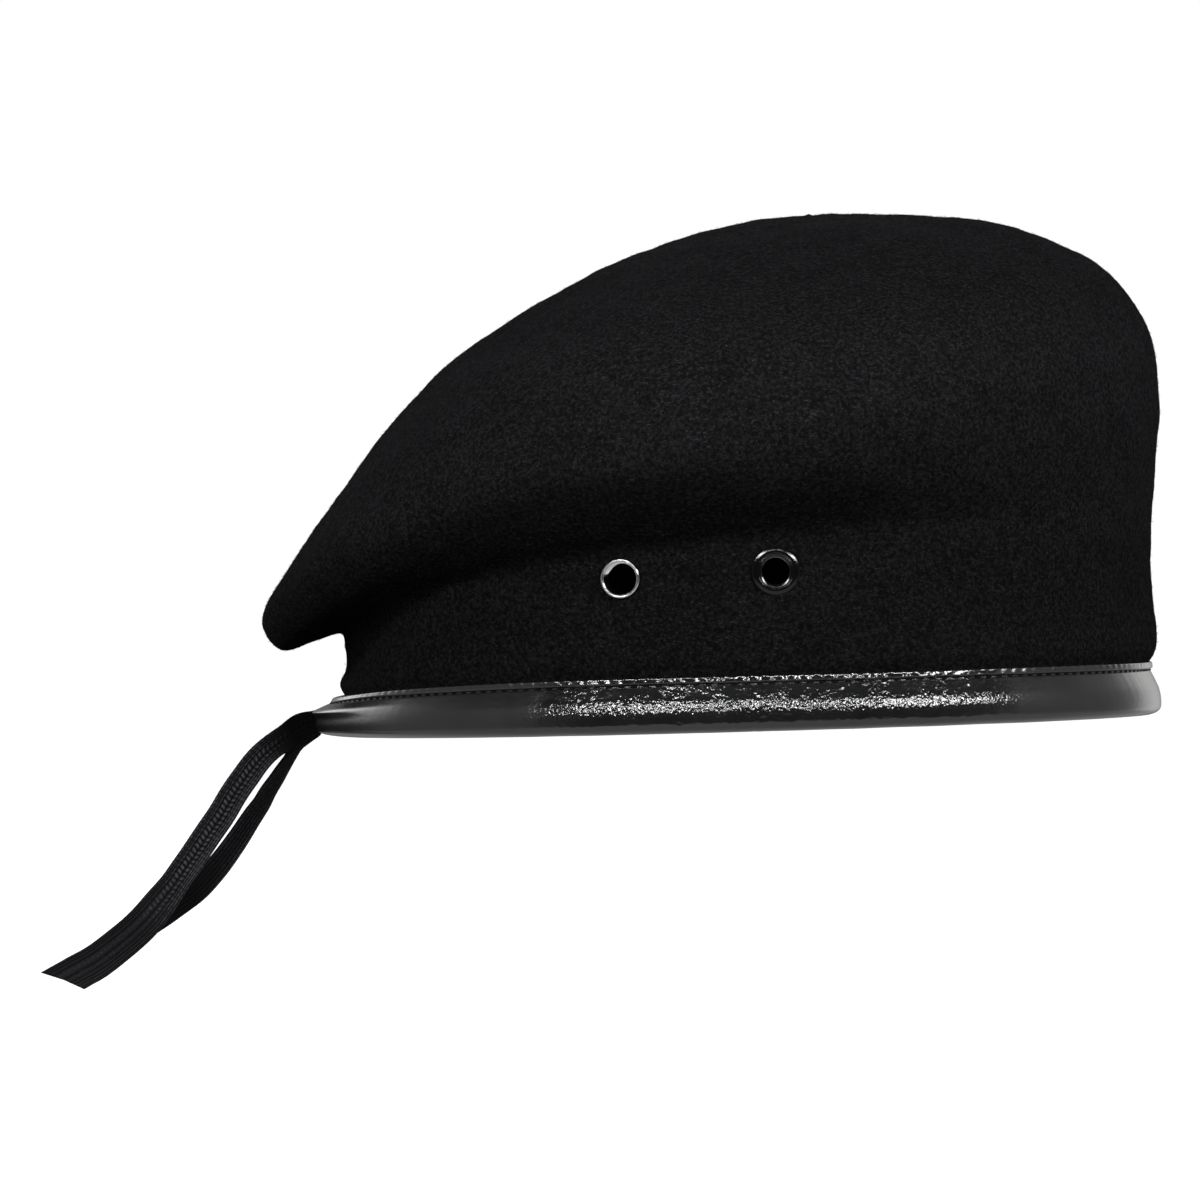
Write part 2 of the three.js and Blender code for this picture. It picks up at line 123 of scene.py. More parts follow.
def lengths(vectors):
    return np.linalg.norm(vectors, axis=-1)


def turns_of(count):
    """Angles evenly spaced round a circle."""
    return np.linspace(0, TURN, count, endpoint=False)


def spline(a, b, c, d, s):
    """Points of a smooth curve between b and c, at the shares s of the way."""
    return 0.5 * (
        2 * b + (c - a) * s + (2 * a - 5 * b + 4 * c - d) * s ** 2 + (3 * b - a - 3 * c + d) * s ** 3
    )


def waves(points, length, seed, count=28):
    """Smooth unseamed noise of about unit height: waves of about one length in seeded directions."""
    source = np.random.default_rng(seed)
    directions = unit(source.normal(size=(count, 3)))
    vectors = directions * TURN / (length * source.uniform(0.7, 1.5, size=(count, 1)))
    phases = source.uniform(0, TURN, size=count)
    flat = np.asarray(points).reshape(-1, 3)
    total = np.zeros(len(flat))
    for vector, phase in zip(vectors, phases):
        total += np.sin(flat @ vector + phase)
    return (total * math.sqrt(2 / count)).reshape(np.asarray(points).shape[:-1])


def bump_at(points, centre, direction, length, breadth):
    """1 at the centre, fading over length along the direction and over breadth across it."""
    offset = points - np.asarray(centre)
    along = offset @ unit(np.asarray(direction, dtype=float))
    across = (offset ** 2).sum(axis=-1) - along ** 2
    return np.exp(-((along / length) ** 2) - across / breadth ** 2)


# The felt's form, by the same rows as the part's own source: closed rings, each with its centre and
# its reach from there and its height in eight directions
DIRECTIONS = 8  # front, front left, left, back left, back, back right, right, front right
FELT = 2.0
STEP = 1e-3
ROW_SPACING = 0.6
HALVINGS = 30
CROWN_ROWS = table(
    ("row", "centre", "reach", "height"),
    ("hem", [0, 0], [100.8, 93.4, 84.6, 92.6, 98.4, 92.6, 84.6, 93.4],
     [2.5] * DIRECTIONS),
    ("bound", [0, 0], [100.6, 93.2, 84.4, 92.4, 98.3, 92.4, 84.4, 93.2],
     [11.4, 11.4, 11.4, 10.8, 8.2, 10.8, 11.4, 11.4]),
    ("wall_foot", [0, 0], [102.5, 94.8, 85.8, 94.2, 100.4, 94.2, 85.8, 94.8],
     [15.9, 15.8, 15.6, 14.9, 12.2, 14.9, 15.6, 15.8]),
    ("wall_low", [0, 0], [102.0, 95.0, 86.4, 94.4, 98.8, 94.2, 86.0, 94.8],
     [25.0, 26.0, 27.0, 21.5, 16.5, 22.0, 26.0, 25.5]),
    ("wall_high", [0, 0], [101.4, 95.1, 87.0, 94.9, 98.4, 94.1, 85.8, 94.7],
     [38.0, 40.0, 43.0, 31.0, 21.4, 33.0, 41.0, 40.0]),
    ("crease", [0, 0], [101.9, 95.6, 87.6, 96.2, 99.8, 95.0, 86.7, 95.6],
     [48.0, 51.0, 56.0, 38.0, 26.0, 37.9, 46.2, 48.6]),
    ("underside", [0, 0], [102.8, 96.3, 88.2, 99.5, 106.8, 100.6, 91.6, 97.8],
     [56.5, 61.0, 68.0, 41.5, 24.2, 40.8, 50.6, 54.8]),
    ("edge_low", [0, 0], [104.1, 96.7, 88.6, 103.7, 115.3, 107.4, 98.5, 100.3],
     [67.0, 72.0, 80.0, 47.5, 21.8, 45.0, 56.6, 62.0]),
    ("edge", [0, 0], [104.9, 96.5, 87.6, 106.0, 119.9, 112.4, 103.9, 102.1],
     [78.5, 84.0, 91.5, 57.0, 29.0, 52.4, 65.2, 72.6]),
    ("shoulder", [2, 1], [101.7, 93.2, 82.6, 102.5, 116.0, 110.3, 103.8, 101.2],
     [92.4, 97.0, 102.0, 69.8, 40.4, 64.0, 77.0, 85.5]),
    ("upper", [5, 3], [90.6, 82.4, 71.5, 93.0, 108.6, 102.6, 96.2, 93.2],
     [107.6, 109.4, 111.5, 85.0, 55.2, 80.0, 92.0, 101.0]),
    ("outer_disc", [9, 6], [73.5, 65.0, 55.5, 78.0, 94.0, 86.5, 80.6, 76.5],
     [117.6, 118.2, 118.7, 100.2, 78.2, 96.6, 104.8, 112.8]),
    ("mid_disc", [13, 9], [50.0, 43.4, 37.0, 57.0, 72.0, 63.5, 56.5, 54.0],
     [124.4, 124.4, 124.1, 113.7, 100.3, 111.7, 116.0, 120.8]),
    ("inner_disc", [17, 12], [24.5, 21.0, 18.0, 29.0, 37.0, 31.5, 27.5, 26.0],
     [127.0, 127.1, 126.9, 123.5, 118.6, 123.0, 124.0, 125.8]),
    ("top", [20, 14], [0] * DIRECTIONS, [127.5] * DIRECTIONS),
)
HEM = CROWN_ROWS[0]
TABLE = np.array([row["centre"] + row["reach"] + row["height"] for row in CROWN_ROWS], dtype=float)
ROW_NAMES = [row["row"] for row in CROWN_ROWS]


def row_places():
    squares = ((TABLE[1:, 2:] - TABLE[:-1, 2:]) ** 2).sum(axis=1) / DIRECTIONS
    places = running(np.sqrt(squares) ** ROW_SPACING)
    return places / places[-1]


PLACES = row_places()


def row_slopes():
    secants = (TABLE[1:] - TABLE[:-1]) / (PLACES[1:] - PLACES[:-1])[:, None]
    below, above = (PLACES[1:-1] - PLACES[:-2])[:, None], (PLACES[2:] - PLACES[1:-1])[:, None]
    middle = (secants[:-1] * above + secants[1:] * below) / (below + above)
    last = secants[-1].copy()
    last[2 + DIRECTIONS:] = 0
    return np.vstack([secants[:1], middle, last])


SLOPES = row_slopes()


def place_of(name):
    return PLACES[ROW_NAMES.index(name)]


def table_at(places):
    """The table's columns at any places along the crown, by a cubic through its rows."""
    places = np.clip(np.atleast_1d(places), 0, 1)
    i = np.clip(np.searchsorted(PLACES, places, side="right") - 1, 0, len(PLACES) - 2)
    span = (PLACES[i + 1] - PLACES[i])[:, None]
    s = (places[:, None] - PLACES[i][:, None]) / span
    return (
        (2 * s ** 3 - 3 * s ** 2 + 1) * TABLE[i]
        + (s ** 3 - 2 * s ** 2 + s) * span * SLOPES[i]
        + (3 * s ** 2 - 2 * s ** 3) * TABLE[i + 1]
        + (s ** 3 - s ** 2) * span * SLOPES[i + 1]
    )


def direction_weights(angles):
    x = np.atleast_1d(angles)[:, None] - np.arange(DIRECTIONS)[None, :] * TURN / DIRECTIONS
    tangent = np.tan(x / 2)
    near = np.abs(tangent) < NEAR_ZERO
    safe = np.where(near, 1, tangent)
    return np.where(near, 1, np.sin(DIRECTIONS * x / 2) / (DIRECTIONS * safe))


def around(values, angles):
    return direction_weights(angles) @ np.asarray(values, dtype=float)


def smooth_grid(places, angles):
    """Points of the smooth outer form, one ring for each place."""
    angles = np.atleast_1d(angles)
    rows = table_at(places)
    weights = direction_weights(angles).T
    reach = rows[:, 2:2 + DIRECTIONS] @ weights
    height = rows[:, 2 + DIRECTIONS:] @ weights
    x = rows[:, 0:1] + reach * np.cos(angles)
    y = rows[:, 1:2] + reach * np.sin(angles)
    return np.stack([x, y, height], axis=-1)


def outward(places, angles):
    angles = np.atleast_1d(angles)
    inside = np.minimum(np.atleast_1d(places), 1 - STEP)
    high = np.minimum(inside + STEP, 1 - STEP)
    low = np.maximum(inside - STEP, 0)
    along = smooth_grid(high, angles) - smooth_grid(low, angles)
    across = smooth_grid(inside, angles + STEP) - smooth_grid(inside, angles - STEP)
    return unit(np.cross(across, along))


# Dents, folds and raised ridges of the felt: pressed in by depth, over length along the direction
# and breadth across it. Those with a negative depth stand out.
DENTS = table(
    ("name", "centre", "direction", "length", "breadth", "depth"),
    ("front_dimple", [71, -38, 106], [0.6, -0.5, -0.6], 13, 8, 1.6),
    ("back_fold", [-58, -30, 86], [0.75, -0.1, 0.6], 16, 6, 1.3),
    ("wall_press", [55, -70, 64], [0.05, 0, 1], 9, 3.5, 0.35),
    ("wall_ridge", [24, -84, 30], [1, 0.1, 0.15], 20, 5, -0.35),
    ("wall_hollow", [-58, -62, 26], [1, -0.6, 0.3], 16, 5, 0.4),
    ("bulge_ridge", [-20, -100, 62], [1, 0, 0.1], 34, 9, -0.5),
    ("tip_press", [-100, -32, 46], [0.4, -0.7, 0.3], 13, 7, 0.6),
)
UNEVENNESS = table(
    ("length", "height", "seed"),
    (70, 0.45, 11),
    (24, 0.16, 12),
    (8, 0.07, 13),
    (3.2, 0.035, 14),
)
GRIPPED_TO = 13.0  # the height up to which the binding grips the felt, which lies flat there
FREE_AFTER = 9.0  # how much higher it bends freely
EYELET_PINCH = 0.55  # how far the felt is drawn in round an eyelet
EYELET_PINCH_REACH = 8.5


def dent_depth(points):
    total = np.zeros(points.shape[:-1])
    for dent in DENTS:
        shape = bump_at(points, dent["centre"], dent["direction"], dent["length"], dent["breadth"])
        total += dent["depth"] * shape
    return total


def felt_grid(places, angles, depth, eyelets=()):
    """Points of the felt with its dents and unevenness, a depth in from its outer face."""
    smooth = smooth_grid(places, angles)
    normal = outward(places, angles)
    pressed = dent_depth(smooth)
    for layer in UNEVENNESS:
        pressed += layer["height"] * waves(smooth, layer["length"], layer["seed"])
    pressed *= np.clip((smooth[..., 2] - GRIPPED_TO) / FREE_AFTER, 0, 1)
    for eyelet in eyelets:
        distance = lengths(smooth - eyelet["centre"])
        pressed += EYELET_PINCH * np.exp(-((distance / EYELET_PINCH_REACH) ** 2))
    return smooth - normal * (depth + pressed)[..., None], normal


# Eyelets: placed as in the part's source
EYELETS = {
    "eyelet_front": {"angle": -85.3, "height": 38.2},
    "eyelet_rear": {"angle": -110.0, "height": 37.4},
}


def wall_place(angle, height):
    low, high = place_of("wall_foot"), place_of("crease")
    for _ in range(HALVINGS):
        middle = (low + high) / 2
        if smooth_grid(middle, angle)[0, 0, 2] < height:
            low = middle
        else:
            high = middle
    return low


def seat_eyelets():
    """Each eyelet's centre in the middle of the felt, and the felt's outward direction there."""
    seats = {}
    for name, eyelet in EYELETS.items():
        angle = math.radians(eyelet["angle"])
        place = wall_place(angle, eyelet["height"])
        normal = outward(place, angle)[0, 0]
        seats[name] = {"centre": smooth_grid(place, angle)[0, 0] - normal * FELT / 2, "axis": normal}
    return seats


SEATS = seat_eyelets()


# Materials
FELT_STRANDS = [  # each family of matted fibres: its turn in degrees, and its stretch
    ((20, 35, 10), (1, 5, 5)),
    ((70, -20, 50), (1, 5, 5)),
    ((-35, 60, 120), (1, 5, 5)),
]
FELT_TONES = (0.0033, 0.0033, 0.0036), (0.0098, 0.0096, 0.0104)
FLECK_TONES = (0.028, 0.028, 0.032), (0.058, 0.057, 0.056)
BULGE_EDGES = (36, 56), (112, 84)  # the heights over which the bulge's painted light begins and ends
PAINTED_SHADE_LEVEL = 0.76  # painted shade: how light the felt is painted outside the bulge, where it is 1
LEATHER_TONES = (0.0042, 0.0042, 0.0046), (0.0085, 0.0083, 0.0085)
# The leather is crinkled about the middle of each side, fully as far as the second number and not
# beyond the first, and this edge wanders.
CRINKLE_MIDDLE = 7
CRINKLE_EDGES = (70, 46)
CRINKLE_WANDER = 40
# Below the bulge's middle the strip is stretched smooth, and under the stitches it is nearly so.
CREASED_FROM = (3.0, 5.2)
CREASED_UP_TO = (9.4, 7.6)
SMOOTH_ROUGHNESS = 0.27


def put(tree, socket, value):
    """Links a socket to another, or sets it to a number, a vector, a grey or a colour."""
    if isinstance(value, bpy.types.NodeSocket):
        tree.links.new(value, socket)
    elif socket.type == "RGBA":
        socket.default_value = (*(value if hasattr(value, "__len__") else (value,) * 3), 1)
    else:
        socket.default_value = value


class Nodes:
    """Short names for building the node tree of a material or a world."""

    def __init__(self, owner, shader="Principled BSDF", place="Object"):
        owner.use_nodes = True
        self.owner = owner
        self.tree = owner.node_tree
        self.shader = self.tree.nodes[shader]
        self.place = self.add("TexCoord").outputs[place]

    def add(self, kind, inputs=(), **settings):
        """A node with its settings, and its inputs by name or number."""
        node = self.tree.nodes.new("ShaderNode" + kind)
        for name, value in settings.items():
            setattr(node, name, value)
        for name, value in dict(inputs).items():
            put(self.tree, node.inputs[name], value)
        return node

    def set(self, **values):
        for name, value in values.items():
            put(self.tree, self.shader.inputs[name.replace("_", " ")], value)

    def mapped(self, turn=(0, 0, 0), scale=(1, 1, 1)):
        turn = [math.radians(a) for a in turn]
        return self.add("Mapping", {"Rotation": turn, "Scale": scale, "Vector": self.place}).outputs[0]

    def noise(self, size_mm, detail=2.0, roughness=0.5, vector=None, distortion=0.0):
        inputs = {"Detail": detail, "Roughness": roughness, "Distortion": distortion}
        inputs.update({"Scale": 1 / (size_mm * MM), "Vector": self.place if vector is None else vector})
        return self.add("TexNoise", inputs).outputs["Fac"]

    def voronoi(self, size_mm, feature="F1", vector=None):
        inputs = {"Scale": 1 / (size_mm * MM), "Vector": self.place if vector is None else vector}
        return self.add("TexVoronoi", inputs, feature=feature).outputs["Distance"]

    def ramp(self, value, stops):
        node = self.add("ValToRGB", {"Fac": value})
        while len(node.color_ramp.elements) < len(stops):
            node.color_ramp.elements.new(0.5)
        for element, (position, colour) in zip(node.color_ramp.elements, stops):
            element.position = position
            element.color = (*(colour if hasattr(colour, "__len__") else (colour,) * 3), 1)
        return node.outputs["Color"]

    def math(self, operation, *values):
        return self.add("Math", enumerate(values), operation=operation).outputs["Value"]

    def mix(self, factor, a, b, kind="RGBA"):
        node = self.add("Mix", {"Factor": factor, "A": a, "B": b}, data_type=kind)
        return next(o for o in node.outputs if o.type == ("VALUE" if kind == "FLOAT" else kind))

    def axis(self, letter):
        return self.add("SeparateXYZ", {0: self.place}).outputs[letter]

    def smooth_step(self, value, start, end, low=0.0, high=1.0):
        """From low where the value is start, or beyond it, to high where it is end."""
        numbers = {"From Min": start, "From Max": end, "To Min": low, "To Max": high}
        inputs = {"Value": value, **numbers}
        return self.add("MapRange", inputs, interpolation_type="SMOOTHSTEP").outputs["Result"]

    def bump(self, *layers):
        """Bumps laid over each other: each is a height and its depth in millimetres."""
        normal = None
        for height, depth in layers:
            inputs = {"Strength": 1.0, "Distance": depth * MM, "Height": height}
            if normal is not None:
                inputs["Normal"] = normal
            normal = self.add("Bump", inputs).outputs["Normal"]
        self.set(Normal=normal)


def new_material(name):
    return Nodes(bpy.data.materials.new(name))


def felt_material():
    """Milled wool: matte near-black, matted into light and dark tufts of about a millimetre."""
    n = new_material("felt")
    n.set(Roughness=1.0, Specular_IOR_Level=0.0)
    n.set(Sheen_Weight=0.006, Sheen_Roughness=0.4, Sheen_Tint=(0.9, 0.93, 1.0))
    strands = None
    for turn, stretch in FELT_STRANDS:
        one = n.noise(1.0, detail=3, roughness=0.65, vector=n.mapped(turn, stretch), distortion=0.4)
        strands = one if strands is None else n.math("MAXIMUM", strands, one)
    tufts = n.noise(0.95, detail=3, roughness=0.6, distortion=0.3)
    clouds = n.noise(9, detail=3, roughness=0.6)
    # Clouding raises whole patches of tufts a little.
    raised = n.math("ADD", tufts, n.math("MULTIPLY", n.math("SUBTRACT", clouds, 0.5), 0.22))
    tone = n.ramp(raised, [(0.34, 0.0), (0.5, 0.36), (0.68, 1.0)])
    base = n.mix(tone, *FELT_TONES)
    high_strands = n.ramp(strands, [(0.61, 0.0), (0.71, 1.0)])
    high_tufts = n.ramp(tufts, [(0.43, 0.0), (0.58, 1.0)])
    flecks = n.math("MULTIPLY", high_strands, high_tufts)
    fleck = n.mix(n.noise(3, detail=1), *FLECK_TONES)
    # Painted light and shade: the bulge, where the lamps fall most, is painted a little lighter, and the
    # wall and the top are painted darker.
    height = n.axis("Z")
    above_wall, below_top = (n.smooth_step(height, *(edge * MM for edge in edges)) for edges in BULGE_EDGES)
    painted_light_share = n.math("MULTIPLY", above_wall, below_top)
    level = n.math("ADD", n.math("MULTIPLY", painted_light_share, 1 - PAINTED_SHADE_LEVEL), PAINTED_SHADE_LEVEL)
    n.set(Base_Color=n.mix(level, 0, n.mix(flecks, base, fleck)))
    n.bump((clouds, 0.25), (tufts, 0.26), (strands, 0.14), (n.noise(0.4, detail=2), 0.05))
    return n.owner


def fibre_material(name, colour):
    """Single wool fibres: some darker than the colour and some much brighter."""
    n = new_material(name)
    n.set(Roughness=0.9, Specular_IOR_Level=0.12)
    dark = [c * 0.6 for c in colour]
    bright = [c * 2.2 for c in colour]
    n.set(Base_Color=n.mix(n.ramp(n.noise(1.8), [(0.45, 0.0), (0.72, 1.0)]), dark, bright))
    return n.owner


def crinkled_share(n):
    """How much the leather is crinkled: fully along the middle of each side, little at the ends."""
    wander = n.math("MULTIPLY", n.math("SUBTRACT", n.noise(14, detail=2), 0.5), CRINKLE_WANDER * MM)
    across = n.math("ADD", n.math("SUBTRACT", n.axis("X"), CRINKLE_MIDDLE * MM), wander)
    return n.smooth_step(n.math("ABSOLUTE", across), *(edge * MM for edge in CRINKLE_EDGES))


def leather_material():
    """Finished sheepskin: glossy black with fine crinkled grain."""
    n = new_material("leather")
    n.set(Specular_IOR_Level=1.0)
    worn = n.noise(9, detail=4, roughness=0.6)
    n.set(Base_Color=n.ramp(worn, list(zip((0.3, 0.7), LEATHER_TONES))))
    height = n.axis("Z")
    patches = n.ramp(n.noise(5, detail=3), [(0.42, 0.3), (0.6, 1.0)])
    lively = n.math("MAXIMUM", n.smooth_step(height, *(z * MM for z in CREASED_UP_TO)), patches)
    stretched = n.math("MULTIPLY", n.smooth_step(height, *(z * MM for z in CREASED_FROM)), lively)
    creased = n.math("MULTIPLY", crinkled_share(n), stretched)
    glossy = n.ramp(n.noise(3, detail=4), [(0.3, 0.1), (0.7, 0.16)])
    n.set(Roughness=n.mix(n.smooth_step(crinkled_share(n), 0.35, 0.9), SMOOTH_ROUGHNESS, glossy))
    grain = n.voronoi(0.85, "SMOOTH_F1", n.mapped((10, 20, 0), (1, 1, 1.2)))
    pores = n.voronoi(0.3)
    crinkle = n.noise(0.75, detail=2, distortion=0.4, vector=n.mapped(scale=(1.25, 1.0, 0.7)))
    crinkle, grain = (n.math("MULTIPLY", relief, creased) for relief in (crinkle, grain))
    n.bump((crinkle, 0.22), (grain, 0.1), (pores, 0.006))
    return n.owner


def thread_material():
    """Black sewing thread, twisted."""
    n = new_material("thread")
    n.set(Roughness=0.9, Specular_IOR_Level=0.1)
    n.set(Base_Color=n.ramp(n.noise(0.5), [(0.3, 0.0015), (0.7, 0.005)]))
    n.bump((n.noise(0.25, detail=1, vector=n.mapped((0, 35, 0), (1, 1, 3))), 0.05))
    return n.owner


def tape_material():
    """Ribbed black cotton tape: a grey-lilac highlight painted on the yarns' crests and shade painted into
    the grooves between them.
    """
    n = new_material("tape")
    n.set(Roughness=0.85, Specular_IOR_Level=0.08)
    # The yarn attribute holds each point's painted light: shade in the grooves, a highlight on the crests.
    height = n.add("Attribute", attribute_name="yarn").outputs["Fac"]
    speckle = n.math("MULTIPLY_ADD", n.noise(0.5, detail=3, roughness=0.65), 2.2, -0.1)
    level = n.math("MULTIPLY", height, speckle)
    groove_shade_to_crest_light = [(0.0, (0.0015, 0.0015, 0.0016)), (0.4, (0.016, 0.0155, 0.0178)), (1.0, (0.110, 0.106, 0.124))]
    n.set(Base_Color=n.ramp(level, groove_shade_to_crest_light))
    n.bump((n.noise(0.5, detail=3), 0.05), (n.noise(0.22, detail=2), 0.03))
    return n.owner


def metal_material(name, colour, roughness, metallic):
    """Pressed and plated eyelet metal, faintly scratched."""
    n = new_material(name)
    n.set(Metallic=metallic)
    scratches = n.noise(0.5, detail=3, vector=n.mapped((0, 20, 0), (1, 1, 7)))
    n.set(Roughness=n.ramp(scratches, [(0.3, roughness * 0.7), (0.7, roughness * 1.5)]))
    n.set(Base_Color=n.ramp(n.noise(1.5, detail=3), [(0.3, [c * 0.85 for c in colour]), (0.7, colour)]))
    n.bump((scratches, 0.008))
    return n.owner


FELT_MATERIAL = felt_material()
FUZZ_MATERIAL = fibre_material("felt_fuzz", (0.009, 0.009, 0.0105))
LINT_MATERIAL = fibre_material("felt_lint", (0.017, 0.0165, 0.0175))
LEATHER_MATERIAL = leather_material()
THREAD_MATERIAL = thread_material()
TAPE_MATERIAL = tape_material()
BLACK_METAL = metal_material("eyelet_lacquer", (0.002, 0.002, 0.0025), 0.08, 0.0)
BRIGHT_METAL = metal_material("eyelet_plate", (0.78, 0.79, 0.80), 0.14, 1.0)

make_camera()

# Tape ends
TAPE_THICKNESS = 1.05
# The tape's lengthwise wales, from its upper left edge: breadth in millimetres, how strongly short
# slanting bars cross it, and how light its yarns are
WALES = {
    "ribbon_tail_right": [
        (0.65, 0.6, 0.7), (0.75, 0.35, 0.55), (0.8, 0.45, 0.7), (2.2, 1.0, 1.0), (1.5, 0.9, 0.95),
        (0.75, 0.5, 0.85), (0.75, 0.4, 0.9), (0.7, 0.35, 1.0), (0.7, 0.4, 0.85),
    ],
    "ribbon_tail_left": [
        (1.1, 0.1, 0.55), (1.3, 0.1, 0.5), (1.3, 0.1, 0.48), (1.3, 0.1, 0.5), (1.3, 0.1, 0.55),
        (1.3, 0.1, 0.65), (1.2, 0.15, 1.0),
    ],
}
WALE_RELIEF = 0.26
BAR_PITCH = 1.3
BAR_RELIEF = 0.22
BAR_SLANT = 0.6
BARS_FADE = (0.55, 0.75)  # share of the length over which the bars give way to plain wales
FADED_BARS = 0.8  # how much of the bars is lost there
FADED_TONE = 0.65  # and how much of the yarns' lightness
CUT_SHARE = 0.12  # the end's share of the length over which the slanting cut is taken up
CUT_HOLLOW = 0.7
TAPE_SWAY = ((0.22, 26, 31), (0.1, 9, 32))  # soft kinks along the tape: height, length and seed
PAINTED_SHADOW_LENGTH = 9.0  # where the tape leaves the binding it is bunched, and its own shadow is painted there by darkening its yarns
TAPE_ENDS = {
    "ribbon_tail_right": {
        "route": [
            (-104.4, -1.2, 4.1), (-107.2, -1.3, 3.6), (-110.2, -2.0, 2.6), (-113.4, -2.8, 0.7),
            (-117.9, -3.7, -2.0), (-121.8, -4.2, -5.6), (-124.9, -4.5, -9.5), (-127.9, -4.6, -14.1),
            (-131.1, -4.5, -19.2), (-134.5, -4.4, -24.0), (-139.4, -4.2, -31.0), (-143.0, -4.0, -35.8),
            (-146.4, -3.7, -39.8), (-149.6, -3.5, -43.6), (-153.2, -3.4, -47.1), (-157.9, -3.3, -50.9),
            (-162.7, -3.2, -54.3), (-167.6, -3.1, -56.9), (-171.6, -3.0, -59.0),
        ],
        # share of the length, width, and turn of the broad face from the wearer's right
        "form": [
            (0, 5.7, 0), (0.03, 5.9, 2), (0.065, 7.2, 14), (0.11, 8.2, 38), (0.16, 8.8, 46),
            (0.24, 8.8, 41), (0.4, 8.8, 39), (0.6, 8.8, 39), (0.7, 8.8, 15), (1, 9.0, 0),
        ],
        "slant": -7.5,
    },
    "ribbon_tail_left": {
        "route": [
            (-104.4, 1.2, 4.1), (-107.2, 1.5, 2.9), (-110.6, 3.5, -0.9), (-113.9, 5.8, -5.3),
            (-117.2, 7.0, -9.9), (-119.6, 7.4, -13.3), (-121.6, 7.6, -17.3), (-124.9, 7.5, -22.2),
            (-128.8, 7.1, -27.6), (-133.4, 6.6, -32.7), (-138.6, 6.0, -37.9), (-144.9, 5.4, -42.4),
            (-151.0, 5.1, -46.3), (-156.6, 4.9, -50.0),
        ],
        "form": [
            (0, 5.7, 0), (0.04, 5.5, 2), (0.1, 7.2, 52), (0.16, 8.8, 78),
            (0.25, 8.8, 70), (0.4, 8.8, 58), (0.6, 8.8, 48), (1, 8.8, 45),
        ],
        "slant": 0.0,
    },
}
TAPE_RINGS = 420
TAPE_ACROSS = 54
CURVE_STEPS = 60
TURN_SPREAD = 25  # the rings over which a change of the tape's turn is spread


def curve_through(points, count):
    """Points evenly spaced along a smooth curve through the given ones, and its directions."""
    points = np.asarray(points, dtype=float)
    ends = np.vstack([2 * points[0] - points[1], points, 2 * points[-1] - points[-2]])
    dense = []
    for i in range(len(points) - 1):
        a, b, c, d = ends[i:i + 4]
        dense.append(spline(a, b, c, d, np.linspace(0, 1, CURVE_STEPS, endpoint=False)[:, None]))
    dense = np.vstack(dense + [points[-1:]])
    travelled = running(lengths(np.diff(dense, axis=0)))
    at = np.linspace(0, travelled[-1], count)
    line = np.stack([np.interp(at, travelled, dense[:, k]) for k in range(3)], axis=1)
    return line, unit(np.gradient(line, axis=0)), travelled[-1]


def tape_section(along, length, wales):
    """A ring of the tape at each share of its length: across as a share of its width, and out in
    millimetres. Also each point's painted light: lighter the higher it stands on its yarn and the
    lighter the yarn, with painted shade in the grooves, which the material colours by."""
    across = np.linspace(-0.5, 0.5, TAPE_ACROSS)
    breadth, crossed, light = np.array(wales).T
    ends = np.cumsum(breadth) / breadth.sum() - 0.5
    wale = np.clip(np.searchsorted(ends, across), 0, len(breadth) - 1)
    starts = np.concatenate([[-0.5], ends[:-1]])
    within = (across - starts[wale]) / (ends - starts)[wale]
    rib = np.abs(np.sin(math.pi * np.clip(within, 0, 1))) ** 0.8
    slant = BAR_SLANT * np.where(wale % 2 == 0, 1, -1) * breadth[wale] / 2.5
    edge = np.clip(1 - np.abs(across * 2) ** 14, 0, 1) ** 0.5
    rings, yarn_tone_and_painted_light = [], []
    for share in along:
        fade = np.clip((share - BARS_FADE[0]) / (BARS_FADE[1] - BARS_FADE[0]), 0, 1)
        barred = crossed[wale] * (1 - FADED_BARS * fade)
        bars = np.abs(np.sin(math.pi * (share * length / BAR_PITCH + slant * (within - 0.5))))
        sunk = WALE_RELIEF * (1 - rib) + BAR_RELIEF * barred * rib * (1 - bars)
        face = (TAPE_THICKNESS / 2 - sunk) * edge
        upper = np.stack([across, face], axis=1)
        under = np.stack([across[::-1], -face[::-1]], axis=1)
        # Painted light and shade: the yarn's own lightness, shaded in its grooves and between the bars.
        tone = rib * (1 - barred * (1 - bars)) * light[wale] * (1 - FADED_TONE * fade)
        rings.append(np.vstack([upper, under[1:-1]]))
        yarn_tone_and_painted_light.append(np.concatenate([tone, tone[::-1][1:-1]]))
    return np.array(rings), np.array(yarn_tone_and_painted_light)


